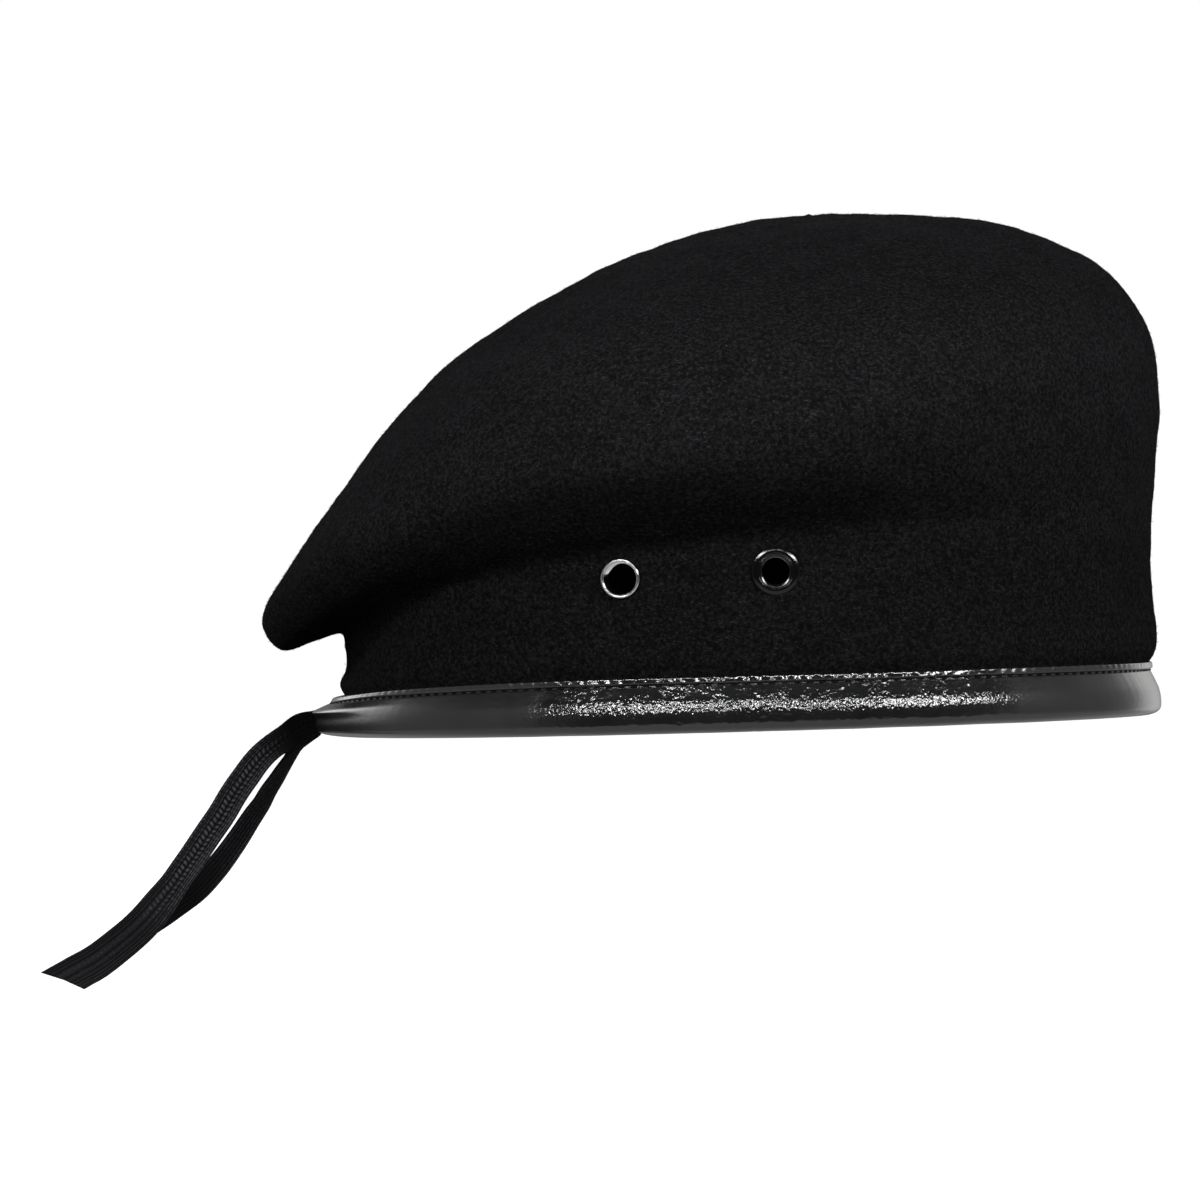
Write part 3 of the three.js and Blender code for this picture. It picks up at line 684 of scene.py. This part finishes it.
def make_tape(name, tape):
    line, forward, length = curve_through(tape["route"], TAPE_RINGS)
    along = np.linspace(0, 1, TAPE_RINGS)
    form = np.array(tape["form"], dtype=float)
    width = np.interp(along, form[:, 0], form[:, 1])
    turn = np.radians(np.interp(along, form[:, 0], form[:, 2]))
    spread = np.hanning(TURN_SPREAD)
    turn = np.convolve(np.pad(turn, TURN_SPREAD // 2, mode="edge"), spread / spread.sum(), mode="valid")
    upright = unit(np.cross(forward, (0, 1, 0)))
    sideways = np.cross(upright, forward)
    broad = upright * np.cos(turn)[:, None] + sideways * np.sin(turn)[:, None]
    face = np.cross(forward, broad)
    section, yarn_tone_and_painted_light = tape_section(along, length, WALES[name])
    cut = np.clip((along - 1 + CUT_SHARE) / CUT_SHARE, 0, None)
    hollow = CUT_HOLLOW * np.cos(math.pi * section[-1][:, 0])
    points = (
        line[:, None, :]
        + broad[:, None, :] * (section[..., 0] * width[:, None])[..., None]
        + face[:, None, :] * section[..., 1][..., None]
        + forward[:, None, :] * ((section[..., 0] * tape["slant"] - hollow) * cut[:, None])[..., None]
    )
    sides = section.shape[1]
    sway = sum(height * waves(line, size, seed) for height, size, seed in TAPE_SWAY)
    sway *= np.clip(along * 6, 0, 1) * np.clip((1 - along) * 8, 0, 1)
    points += face[:, None, :] * sway[:, None, None]
    faces = grid_faces(TAPE_RINGS, sides).tolist()
    flat = points.reshape(-1, 3)
    ring = list(range(len(flat)))
    faces += fan(len(flat), ring[:sides], inward=True) + fan(len(flat) + 1, ring[-sides:])
    flat = np.vstack([flat, points[0].mean(axis=0), points[-1].mean(axis=0)])
    made = add_mesh(name + "_woven", flat, faces, TAPE_MATERIAL)
    # Painted shadow: the yarns' painted light is taken out where the tape is bunched at the binding.
    yarn_tone_and_painted_light *= np.clip(along * length / PAINTED_SHADOW_LENGTH - 1, 0, 1)[:, None]
    yarn = made.data.attributes.new("yarn", "FLOAT", "POINT")
    yarn.data.foreach_set("value", np.concatenate([yarn_tone_and_painted_light.ravel(), [0, 0]]))
    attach(made, "root")
    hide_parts(name)
    print(f"{name} length {length:.1f} mm")


for name, tape in TAPE_ENDS.items():
    make_tape(name, tape)


# The felt cap
FELT_SIDES = 448
OUTER_RINGS = 138
INNER_RINGS = 46
HOLE_RADIUS = 4.2
HOLE_DEPTH = 14
HOLE_SIDES = 40
FINE_RINGS, FINE_SIDES = 1200, 24  # for measuring along the crown
INNER_UNEVENNESS = {"height": 0.12, "length": 6, "seed": 41}
HOLLOW_MIDDLE = (0, 0, 50.0)


def even_places(count):
    """Places along the crown whose rings lie equally far apart on the mean, without the last."""
    fine = np.linspace(0, 1, FINE_RINGS)
    grid = smooth_grid(fine, turns_of(FINE_SIDES))
    travelled = running(lengths(np.diff(grid, axis=0)).mean(axis=1))
    at = np.linspace(0, travelled[-1], count + 1)[:-1]
    return np.interp(at, travelled, fine)


def apply_modifiers(made):
    """Bakes an object's modifiers into its mesh."""
    graph = bpy.context.evaluated_depsgraph_get()
    mesh = bpy.data.meshes.new_from_object(made.evaluated_get(graph))
    made.modifiers.clear()
    made.data = mesh


def cut_away(made, *cutters):
    """Takes the cutters' solids out of an object, and removes them."""
    for cutter in cutters:
        modifier = made.modifiers.new("cut", "BOOLEAN")
        modifier.operation = "DIFFERENCE"
        modifier.solver = "EXACT"
        modifier.object = cutter
    apply_modifiers(made)
    for cutter in cutters:
        bpy.data.objects.remove(cutter)


def spokes_round(axis, count):
    """Unit spokes square to an axis, from the level one round by the upright one."""
    level = unit(np.cross((0, 0, 1.0), axis))
    turns = turns_of(count)[:, None]
    return np.cos(turns) * level + np.sin(turns) * np.cross(axis, level)


def drill(seat):
    """A rod through the felt where an eyelet sits."""
    middle = seat["centre"] + HOLE_RADIUS * spokes_round(seat["axis"], HOLE_SIDES)
    reach = seat["axis"] * HOLE_DEPTH / 2
    points = np.vstack([middle - reach, middle + reach])
    faces = grid_faces(2, HOLE_SIDES).tolist()
    faces += [list(range(HOLE_SIDES))[::-1], list(range(HOLE_SIDES, 2 * HOLE_SIDES))]
    return add_mesh("drill", points, faces, FELT_MATERIAL)


FELT_ANGLES = turns_of(FELT_SIDES)
OUTER_GRID, OUTER_NORMALS = felt_grid(even_places(OUTER_RINGS), FELT_ANGLES, 0, SEATS.values())


def make_felt():
    inner, _ = felt_grid(even_places(INNER_RINGS), FELT_ANGLES, FELT, SEATS.values())
    uneven = waves(inner, INNER_UNEVENNESS["length"], INNER_UNEVENNESS["seed"])[..., None]
    inner += INNER_UNEVENNESS["height"] * uneven * unit(inner - np.array(HOLLOW_MIDDLE))
    outer = OUTER_GRID.copy()
    outer[0, :, 2] = HEM["height"][0]
    inner[0, :, 2] = HEM["height"][0]
    top = smooth_grid(1.0, 0.0)[0, 0]
    rings = np.vstack([inner[::-1].reshape(-1, 3), outer.reshape(-1, 3), [top - (0, 0, FELT)], [top]])
    ring = list(range(len(rings) - 2))
    faces = grid_faces(len(inner) + len(outer), FELT_SIDES).tolist()
    faces += fan(len(ring), ring[:FELT_SIDES], inward=True) + fan(len(ring) + 1, ring[-FELT_SIDES:])
    made = add_mesh("felt_cap", rings, faces, FELT_MATERIAL)
    cut_away(made, *[drill(seat) for seat in SEATS.values()])
    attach(made, "root")
    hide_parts("wool_crown")


make_felt()

# Wool fibres on the felt: lengths and radii in millimetres, lean in degrees up from the surface
FIBRES = table(
    ("name", "count", "length", "lean", "radius", "bend", "seed", "material"),
    ("felt_nap", 19500, (0.35, 1.0), (10, 70), 0.034, 0.9, 51, FUZZ_MATERIAL),
    ("felt_lint", 19500, (0.4, 1.1), (2, 20), 0.036, 1.3, 52, LINT_MATERIAL),
)
FIBRE_SIDES = 3
FIBRE_ROOT = 0.08  # how deep its end is in the felt
FIBRE_LOWEST = 14.2
FIBRE_CLEAR_OF_EYELETS = 5.9


def scatter(count, source):
    """Random points over the outer felt, evenly by area, with the felt's direction there."""
    here = OUTER_GRID
    after = np.roll(here, -1, axis=1)
    area = lengths(np.cross(here[1:] - here[:-1], (after - here)[:-1]))
    area[here[:-1, :, 2] < FIBRE_LOWEST] = 0
    share = (area / area.sum()).ravel()
    cells = source.choice(len(share), size=count, p=share)
    i, j = np.divmod(cells, FELT_SIDES)
    u, v = source.random(count)[:, None], source.random(count)[:, None]
    low = here[i, j] * (1 - u) + after[i, j] * u
    high = here[i + 1, j] * (1 - u) + after[i + 1, j] * u
    points = low * (1 - v) + high * v
    normals = OUTER_NORMALS[i, j]
    keep = np.ones(count, dtype=bool)
    for seat in SEATS.values():
        keep &= lengths(points - seat["centre"]) > FIBRE_CLEAR_OF_EYELETS
    return points[keep], normals[keep]


def make_fibres(kind):
    """Bent fibres with a ring of points at the root, one in the middle and a pointed tip."""
    source = np.random.default_rng(kind["seed"])
    root, normal = scatter(kind["count"], source)
    count = len(root)
    flat = unit(np.cross(normal, unit(source.normal(size=(count, 3)))))
    lean = np.radians(source.uniform(*kind["lean"], size=count))[:, None]
    heading = flat * np.cos(lean) + normal * np.sin(lean)
    side = unit(np.cross(normal, flat))
    length = source.uniform(*kind["length"], size=count)[:, None]
    curl = source.normal(scale=kind["bend"], size=count)[:, None] * length * 0.35
    middle = root + heading * length * 0.5 + side * curl * 0.6 + normal * length * 0.05
    tip = root + heading * length - normal * length * np.sin(lean) * 0.35 - side * curl * 0.4
    root = root - normal * FIBRE_ROOT
    turns = turns_of(FIBRE_SIDES)[None, :, None]
    ring = np.cos(turns) * side[:, None, :] + np.sin(turns) * normal[:, None, :]
    ring *= kind["radius"] * source.uniform(0.7, 1.3, size=count)[:, None, None]
    points = np.concatenate([root[:, None] + ring, middle[:, None] + ring * 0.8, tip[:, None]], axis=1)
    pattern = []
    for low in range(FIBRE_SIDES):
        after = (low + 1) % FIBRE_SIDES
        high, high_after, point = low + FIBRE_SIDES, after + FIBRE_SIDES, 2 * FIBRE_SIDES
        pattern += [[low, after, high_after], [low, high_after, high], [high, high_after, point]]
    pattern.append([2, 1, 0])
    faces = (np.array(pattern)[None] + (np.arange(count) * points.shape[1])[:, None, None]).reshape(-1, 3)
    made = add_mesh(kind["name"], points.reshape(-1, 3), faces.tolist(), kind["material"])
    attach(made, "root")


for kind in FIBRES:
    make_fibres(kind)

# The leather binding
BINDING_HEIGHT = [13.0, 13.3, 13.3, 12.8, 10.9, 12.8, 13.4, 13.3]
FLARE_ANGLE = 0.3
FLARE_DROP = 1.2  # how much lower the binding is where the tape comes out
BINDING_SIDES = 1280
# The folded strip's section: outward from the felt's outer face, up as a share of the binding's
# height, outward again where it flares for the tape, and how many steps lead to the next point.
BINDING_SECTION = table(
    ("point", "out", "up", "flare", "steps"),
    ("bottom", -1.0, 0.0, 0.6, 4),
    ("bottom_outside", 1.3, 0.015, 2.4, 6),
    ("bulge_low", 2.85, 0.1, 4.5, 7),
    ("bulge", 3.15, 0.26, 5.2, 8),
    ("bulge_high", 2.76, 0.47, 5.7, 7),
    ("bulge_top", 1.95, 0.63, 7.3, 4),
    ("hollow", 1.15, 0.76, 5.7, 3),
    ("groove_low", 0.7, 0.83, 4.5, 2),
    ("stitch_groove", 0.5, 0.852, 4.2, 3),
    ("lip_face", 1.2, 0.893, 3.3, 3),
    ("lip_brow", 1.22, 0.93, 3.0, 3),
    ("lip_top", 1.1, 0.985, 2.7, 2),
    ("lip_crest", 0.75, 1.0, 2.3, 2),
    ("lip_inside", 0.5, 0.96, 2.3, 2),
    ("channel_high", 0.25, 0.82, 2.6, 2),
    ("channel_low", 0.32, 0.2, 3.4, 2),
    ("channel_corner", -2.3, 0.2, 0.0, 2),
    ("inner_lip_outside", -2.25, 0.9, 0.0, 2),
    ("inner_lip_top", -2.9, 0.945, 0.0, 2),
    ("inner_groove", -3.15, 0.845, 0.0, 3),
    ("inner_bulge_high", -3.9, 0.7, 0.0, 4),
    ("inner_bulge", -4.3, 0.42, 0.0, 4),
    ("inner_bulge_low", -3.7, 0.12, 0.0, 3),
)
STITCH_PITCH = 3.02
PUCKERS = table(
    ("point", "between", "at", "reach"),
    ("lip_top", 0.14, 0.22, 0.9),
    ("inner_groove", 0.12, 0.12, 1.2),
)
# The strip lies smoother towards the front and the back.
EASED = {"middle": 7, "from": 45, "over": 25, "share": 0.75}
WRINKLE_SLANT = 0.42
SEAM_ANGLE = math.radians(-89.3)
SEAM_RADIUS = 86
SEAM_FOLDS = ((0, -0.12, 0.7), (1.2, 0.07, 0.9))  # each fold's place, height and reach
SLIT = {"depth": 12, "breadth": 5.0, "bottom": 0.9, "top": 8.4, "x": -106.5, "roundness": 0.45}
SLIT_SIDES = 32


def closed_curve(points, steps):
    """A smooth closed curve through the points, with a number of steps from each to the next."""
    count = len(points)
    rows = []
    for i in range(count):
        a, b, c, d = points[i - 1], points[i], points[(i + 1) % count], points[(i + 2) % count]
        rows.append(spline(a, b, c, d, np.arange(steps[i])[:, None] / steps[i]))
    return np.vstack(rows)


class Binding:
    """Points of the binding by how far along its section and by angle."""

    def __init__(self):
        places = np.array([[s["out"], s["up"], s["flare"]] for s in BINDING_SECTION])
        steps = [s["steps"] for s in BINDING_SECTION]
        self.section = closed_curve(places, steps)
        self.starts = dict(zip([s["point"] for s in BINDING_SECTION], running(steps).astype(int)))
        height = np.mean(BINDING_HEIGHT)
        self.flat = np.stack([self.section[:, 0], self.section[:, 1] * height], axis=1)
        tangent = np.roll(self.flat, -1, axis=0) - np.roll(self.flat, 1, axis=0)
        self.normal = unit(np.stack([tangent[:, 1], -tangent[:, 0]], axis=1))
        self.angles = turns_of(BINDING_SIDES)
        self.foot, _ = self.hem(self.angles)
        round_hem = running(lengths(np.roll(self.foot, -1, axis=0) - self.foot))
        self.travelled, self.girth = round_hem[:-1], round_hem[-1]

    def hem(self, angles):
        """Points of the felt's edge in plan, and the directions straight out from it."""
        foot, ahead = (
            around(HEM["reach"], at)[:, None] * np.stack([np.cos(at), np.sin(at)], axis=1)
            for at in (angles, angles + STEP)
        )
        tangent = unit(ahead - foot)
        return foot, np.stack([tangent[:, 1], -tangent[:, 0]], axis=1)

    def rings(self, rows, lift, angles=None):
        """Rings at rows of the section, lifted off it by lift: an array of rows by angles."""
        angles = self.angles if angles is None else angles
        foot, out_from_hem = self.hem(angles)
        flare = np.exp(-(((np.mod(angles, TURN) - math.pi) / FLARE_ANGLE) ** 2))
        height = around(BINDING_HEIGHT, angles) - FLARE_DROP * flare
        section, normal = self.section[rows], self.normal[rows]
        out = section[:, 0:1] + section[:, 2:3] * flare[None, :] + normal[:, 0:1] * lift
        up = section[:, 1:2] * height[None, :] + normal[:, 1:2] * lift
        level = foot[None] + out_from_hem[None] * out[..., None]
        return np.concatenate([level, up[..., None]], axis=-1)


BINDING = Binding()
STITCHES = round(BINDING.girth / STITCH_PITCH)


def binding_relief():
    """How far the leather stands off its plain section: puckers, wrinkles and the strip's own seam."""
    rows = len(BINDING.section)
    phase = BINDING.travelled / BINDING.girth * STITCHES
    from_middle = np.abs(BINDING.foot[:, 0] - EASED["middle"])
    eased = 1 - EASED["share"] * np.clip((from_middle - EASED["from"]) / EASED["over"], 0, 1)
    swell = 0.5 - 0.5 * np.cos(TURN * phase)
    uneven = 1 + 0.5 * waves(np.stack([BINDING.travelled, 0 * phase, 0 * phase], axis=1), 9, 61)
    lift = np.zeros((rows, BINDING_SIDES))
    for pucker in PUCKERS:
        distance = lengths(BINDING.flat - BINDING.flat[BINDING.starts[pucker["point"]]])
        near = np.exp(-((distance / pucker["reach"]) ** 2))
        drawn = pucker["between"] * swell - pucker["at"] * (1 - swell)
        lift += near[:, None] * (drawn * uneven * eased)[None, :]
    # Wrinkles run down from the stitching and slant a little, as the leather is eased round the rim.
    down = running(lengths(np.diff(BINDING.flat, axis=0)))
    u = np.broadcast_to(BINDING.travelled[None, :], lift.shape)
    v = np.broadcast_to(down[:, None], lift.shape)
    outside = np.zeros(rows)
    outside[BINDING.starts["bottom_outside"]:BINDING.starts["lip_top"]] = 1
    outside[BINDING.starts["inner_groove"]:] = 0.6
    outside = np.convolve(np.concatenate([outside[-3:], outside, outside[:3]]), np.ones(7) / 7, mode="valid")
    radius = BINDING.girth / TURN
    at = np.stack([radius * np.cos(u / radius), radius * np.sin(u / radius), v * 0], axis=-1)
    slanted = at + np.stack([0 * v, 0 * v, WRINKLE_SLANT * v], axis=-1)
    upper = np.clip((BINDING.section[:, 1] - 0.1) / 0.6, 0, 1)[:, None]
    lift += outside[:, None] * eased * (
        0.022 * upper * waves(slanted, 3.4, 62, count=40)
        + 0.016 * waves(slanted + v[..., None] * [0.9, -0.7, 0.6], 1.7, 63, count=40)
        + 0.05 * waves(at + v[..., None] * [0, 0, 1.0], 11, 64)
    )
    # The strip's own joint, seen as a faint upright pucker.
    seam = (BINDING.angles - SEAM_ANGLE + math.pi) % TURN - math.pi
    across = seam * SEAM_RADIUS
    folds = sum(height * np.exp(-(((across - place) / reach) ** 2)) for place, height, reach in SEAM_FOLDS)
    return lift + outside[:, None] * folds[None, :]


def slit_cutter():
    """A rounded upright box through the back of the binding."""
    half_breadth, half_depth = SLIT["breadth"] / 2, SLIT["depth"] / 2
    middle = (SLIT["top"] + SLIT["bottom"]) / 2
    half_height = (SLIT["top"] - SLIT["bottom"]) / 2
    turns = turns_of(SLIT_SIDES)
    across, up = (np.sign(way) * np.abs(way) ** SLIT["roundness"] for way in (np.cos(turns), np.sin(turns)))
    y, z = half_breadth * across, middle + half_height * up
    ends = [np.stack([np.full(SLIT_SIDES, SLIT["x"] + x), y, z], axis=1) for x in (-half_depth, half_depth)]
    faces = grid_faces(2, SLIT_SIDES)[:, ::-1].tolist()
    faces += [list(range(SLIT_SIDES)), list(range(SLIT_SIDES, 2 * SLIT_SIDES))[::-1]]
    return add_mesh("slit", np.vstack(ends), faces, LEATHER_MATERIAL)


def make_binding():
    relief = binding_relief()
    points = BINDING.rings(np.arange(len(relief)), relief)
    faces = grid_faces(len(relief), BINDING_SIDES, close_rows=True).tolist()
    made = add_mesh("leather_strip", points.reshape(-1, 3), faces, LEATHER_MATERIAL)
    cut_away(made, slit_cutter())
    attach(made, "root")
    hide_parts("leather_binding")


make_binding()

STITCH_LENGTH = 1.95
THREAD_RADIUS = 0.24
THREAD_TAPER = 0.45
STITCH_LIFT = 0.08  # how far its middle stands off the leather
STITCH_DIP = 0.4  # and how much lower its ends are
STITCH_RINGS = 7
STITCH_SIDES = 7
SLIT_CLEAR = 5.0  # no stitch comes closer to the slit's middle


def make_stitches(name, point):
    """A row of thread stitches along one of the binding's grooves."""
    row = BINDING.starts[point]
    share = np.linspace(-0.5, 0.5, STITCH_RINGS)
    centres = np.arange(STITCHES) * BINDING.girth / STITCHES
    around_mm = centres[:, None] + share[None, :] * STITCH_LENGTH
    travelled = np.append(BINDING.travelled, BINDING.girth)
    angles = np.interp(np.mod(around_mm, BINDING.girth), travelled, np.append(BINDING.angles, TURN))
    height = STITCH_LIFT - STITCH_DIP * (2 * np.abs(share)) ** 3
    line = np.stack([
        BINDING.rings(np.array([row]), height[k], angles[:, k])[0] for k in range(STITCH_RINGS)
    ], axis=1)
    middle = line[:, STITCH_RINGS // 2]
    line = line[(np.abs(middle[:, 1]) > SLIT_CLEAR) | (middle[:, 0] > 0)]
    along = unit(np.gradient(line, axis=1))
    sideways = unit(np.cross(along, (0, 0, 1.0)))
    upright = np.cross(sideways, along)
    turns = turns_of(STITCH_SIDES)[None, None, :, None]
    radius = THREAD_RADIUS * (1 - THREAD_TAPER * (2 * np.abs(share)) ** 4)
    ring = np.cos(turns) * sideways[:, :, None, :] + np.sin(turns) * upright[:, :, None, :]
    points = line[:, :, None, :] + ring * radius[None, :, None, None]
    pattern = grid_faces(STITCH_RINGS, STITCH_SIDES)[:, ::-1]
    faces = []
    for first in range(0, len(line) * STITCH_RINGS * STITCH_SIDES, STITCH_RINGS * STITCH_SIDES):
        ring = list(range(first, first + STITCH_RINGS * STITCH_SIDES))
        faces += (pattern + first).tolist() + [ring[:STITCH_SIDES], ring[:-STITCH_SIDES - 1:-1]]
    made = add_mesh(name, points.reshape(-1, 3), faces, THREAD_MATERIAL)
    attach(made, "root")


make_stitches("stitches_outer", "stitch_groove")
make_stitches("stitches_inner", "inner_groove")

# Eyelets
EYELET_SIDES = 96
EYELET_CURVE_STEPS = 3
EYELET_DRAWN_IN = 0.9  # how much of the felt's pinch the eyelet follows
# Profiles about the eyelet's axis: radius, and distance out from the middle of the felt
EYELET_PROFILES = {
    "eyelet_front": [
        (3.30, -1.9), (3.34, -2.15), (3.6, -2.35), (4.4, -2.25), (4.85, -1.9), (4.9, -1.5), (4.1, -1.45),
        (4.1, 1.1), (5.62, 0.95), (5.75, 1.1), (5.77, 1.4), (5.68, 1.62), (5.3, 1.77), (4.95, 1.88),
        (4.7, 1.9), (4.4, 1.9), (4.28, 1.84), (4.18, 2.0), (4.05, 2.08), (3.75, 1.99), (3.45, 1.86),
        (3.28, 1.6), (3.2, 0.6), (3.22, -0.8),
    ],
    "eyelet_rear": [
        (3.52, -1.9), (3.55, -2.15), (3.8, -2.35), (4.4, -2.25), (4.8, -1.9), (4.85, -1.5), (4.15, -1.45),
        (4.15, 1.0), (4.7, 0.95), (4.82, 1.12), (4.82, 1.5), (4.66, 1.78), (4.42, 1.9), (4.18, 1.82),
        (4.0, 1.6), (3.86, 1.2), (3.7, 0.5), (3.58, -0.3), (3.52, -1.2),
    ],
}


def make_eyelet(name, material):
    seat = SEATS[name]
    profile = np.array(EYELET_PROFILES[name])
    curve = closed_curve(profile, [EYELET_CURVE_STEPS] * len(profile))
    spokes = spokes_round(seat["axis"], EYELET_SIDES)
    middle = seat["centre"] - seat["axis"] * EYELET_PINCH * EYELET_DRAWN_IN
    points = middle + curve[:, None, 0:1] * spokes[None] + curve[:, None, 1:2] * seat["axis"]
    faces = grid_faces(len(curve), EYELET_SIDES, close_rows=True).tolist()
    made = add_mesh(name + "_ring", points.reshape(-1, 3), faces, material)
    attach(made, "root")
    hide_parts(name)
    return made


make_eyelet("eyelet_front", BLACK_METAL)
make_eyelet("eyelet_rear", BRIGHT_METAL)

# Floor and light
FLOOR_HEIGHT = -66.0
FLOOR_RADIUS = 6000.0
FLOOR_SIDES = 96
PAPER_WHITE = 1.02
PAPER_GLOW = 0.93
PAPER_TINT = (1, 1, 0.99)
# The studio round the hat, by how far a direction points back from the camera: dark where the
# photographer stands, grey walls at the sides and a bright backdrop behind
STUDIO_ROUND = [
    (-1.0, 0.035), (-0.72, 0.045), (-0.5, 0.2), (-0.25, 0.28), (0.38, 0.28), (0.54, 0.42), (0.72, 1.6),
    (0.86, 1.25), (0.97, 0.25),
]
STUDIO_TURN = 6.5  # degrees by which the studio is turned to the wearer's back
# Something low and dark stands behind on the side of the wearer's back, and above it a white
# reflector: the shares of a direction over which each comes into sight
DARK_CORNER = {"Z": (0.15, 0.09), "Y": (0.42, 0.6), "X": (-0.1, -0.35)}
DARK_CORNER_GLOW = 0.03
REFLECTOR = {"Z": (0.15, 0.2), "Y": (0.53, 0.65), "X": (-0.25, -0.4)}
REFLECTOR_GLOW = 3.2
TABLE_GLOW = 0.5
TABLE_ON_CLOTH = 0.2  # the table sheds little light on matt surfaces, which the hat itself shades
CEILING = 0.05
CEILING_EDGE = (0.5, 0.68)  # the upward share of directions over which the dark ceiling comes into sight
TABLE_TOP = (-0.2, -0.34)  # and over which the table does
BAND_MIDDLE = (0, 0, 0.02)
HAT_MIDDLE = (0, 0, 0.05)


def make_floor():
    n = new_material("floor")
    n.set(Roughness=0.9, Specular_IOR_Level=0.1, Emission_Color=PAPER_TINT, Emission_Strength=PAPER_GLOW)
    n.set(Base_Color=n.ramp(n.noise(400), [(0.3, 0.30), (0.7, 0.32)]))
    turns = turns_of(FLOOR_SIDES)
    height = np.full(FLOOR_SIDES, FLOOR_HEIGHT)
    points = np.stack([FLOOR_RADIUS * np.cos(turns), FLOOR_RADIUS * np.sin(turns), height], axis=1)
    made = add_mesh("floor", points, [list(range(FLOOR_SIDES))], n.owner)
    # The hat is lit by the studio's own lower half, so the paper's glow stays off it.
    made.visible_diffuse = False
    made.visible_glossy = False


def add_area(name, place, aim, size, power):
    data = bpy.data.lights.new(name, "AREA")
    data.shape = "RECTANGLE"
    data.size, data.size_y = size
    data.energy = power
    made = bpy.data.objects.new(name, data)
    bpy.context.collection.objects.link(made)
    made.location = place
    made.rotation_euler = (Vector(aim) - Vector(place)).to_track_quat("-Z", "Y").to_euler()
    return made


def make_world():
    """The studio as it shows in the glossy leather. The camera sees it as plain white paper."""
    n = Nodes(bpy.data.worlds.new("studio"), "Background", "Generated")
    n.place = n.mapped((0, 0, -STUDIO_TURN))
    strength = STUDIO_ROUND[0][1]
    for (start, before), (end, after) in zip(STUDIO_ROUND, STUDIO_ROUND[1:]):
        step = n.smooth_step(n.axis("Y"), start, end, high=after - before)
        strength = n.math("ADD", strength, step)
    for spans, glow in ((DARK_CORNER, DARK_CORNER_GLOW), (REFLECTOR, REFLECTOR_GLOW)):
        covered = 1.0
        for axis, span in spans.items():
            covered = n.math("MULTIPLY", covered, n.smooth_step(n.axis(axis), *span))
        strength = n.mix(covered, strength, glow, kind="FLOAT")
    strength = n.mix(n.smooth_step(n.axis("Z"), *CEILING_EDGE), strength, CEILING, kind="FLOAT")
    seen = n.add("LightPath").outputs
    table_glow = n.mix(seen["Is Diffuse Ray"], TABLE_GLOW, TABLE_ON_CLOTH, kind="FLOAT")
    strength = n.mix(n.smooth_step(n.axis("Z"), *TABLE_TOP), strength, table_glow, kind="FLOAT")
    strength = n.mix(seen["Is Camera Ray"], strength, PAPER_WHITE, kind="FLOAT")
    n.set(Strength=strength, Color=PAPER_TINT)
    bpy.context.scene.world = n.owner


make_floor()
make_world()
# The boxes in front give the leather its glittering band. The lamps don't show in it.
for name, place, size, power in (
    ("left_box", (-0.50, -1.24, 0.72), (0.70, 0.15), 11),
    ("middle_box", (0.16, -1.33, 0.74), (0.56, 0.14), 2.2),
    ("right_box", (0.86, -1.04, 0.55), (0.78, 0.15), 13),
):
    add_area(name, place, BAND_MIDDLE, size, power)
for name, place, size, power in (
    ("high_lamp", (0.12, -0.42, 1.46), (1.1, 0.4), 6.2),
    ("back_lamp", (-1.2, -0.75, 0.12), (0.8, 0.8), 10),
    ("front_lamp", (1.2, -0.6, 0.9), (0.8, 0.8), 12.5),
    ("far_lamp", (-0.3, 1.4, 0.6), (1.2, 0.8), 11),
):
    add_area(name, place, HAT_MIDDLE, size, power).visible_glossy = False

scene = bpy.context.scene
scene.view_settings.view_transform = "Standard"
scene.view_settings.look = "None"
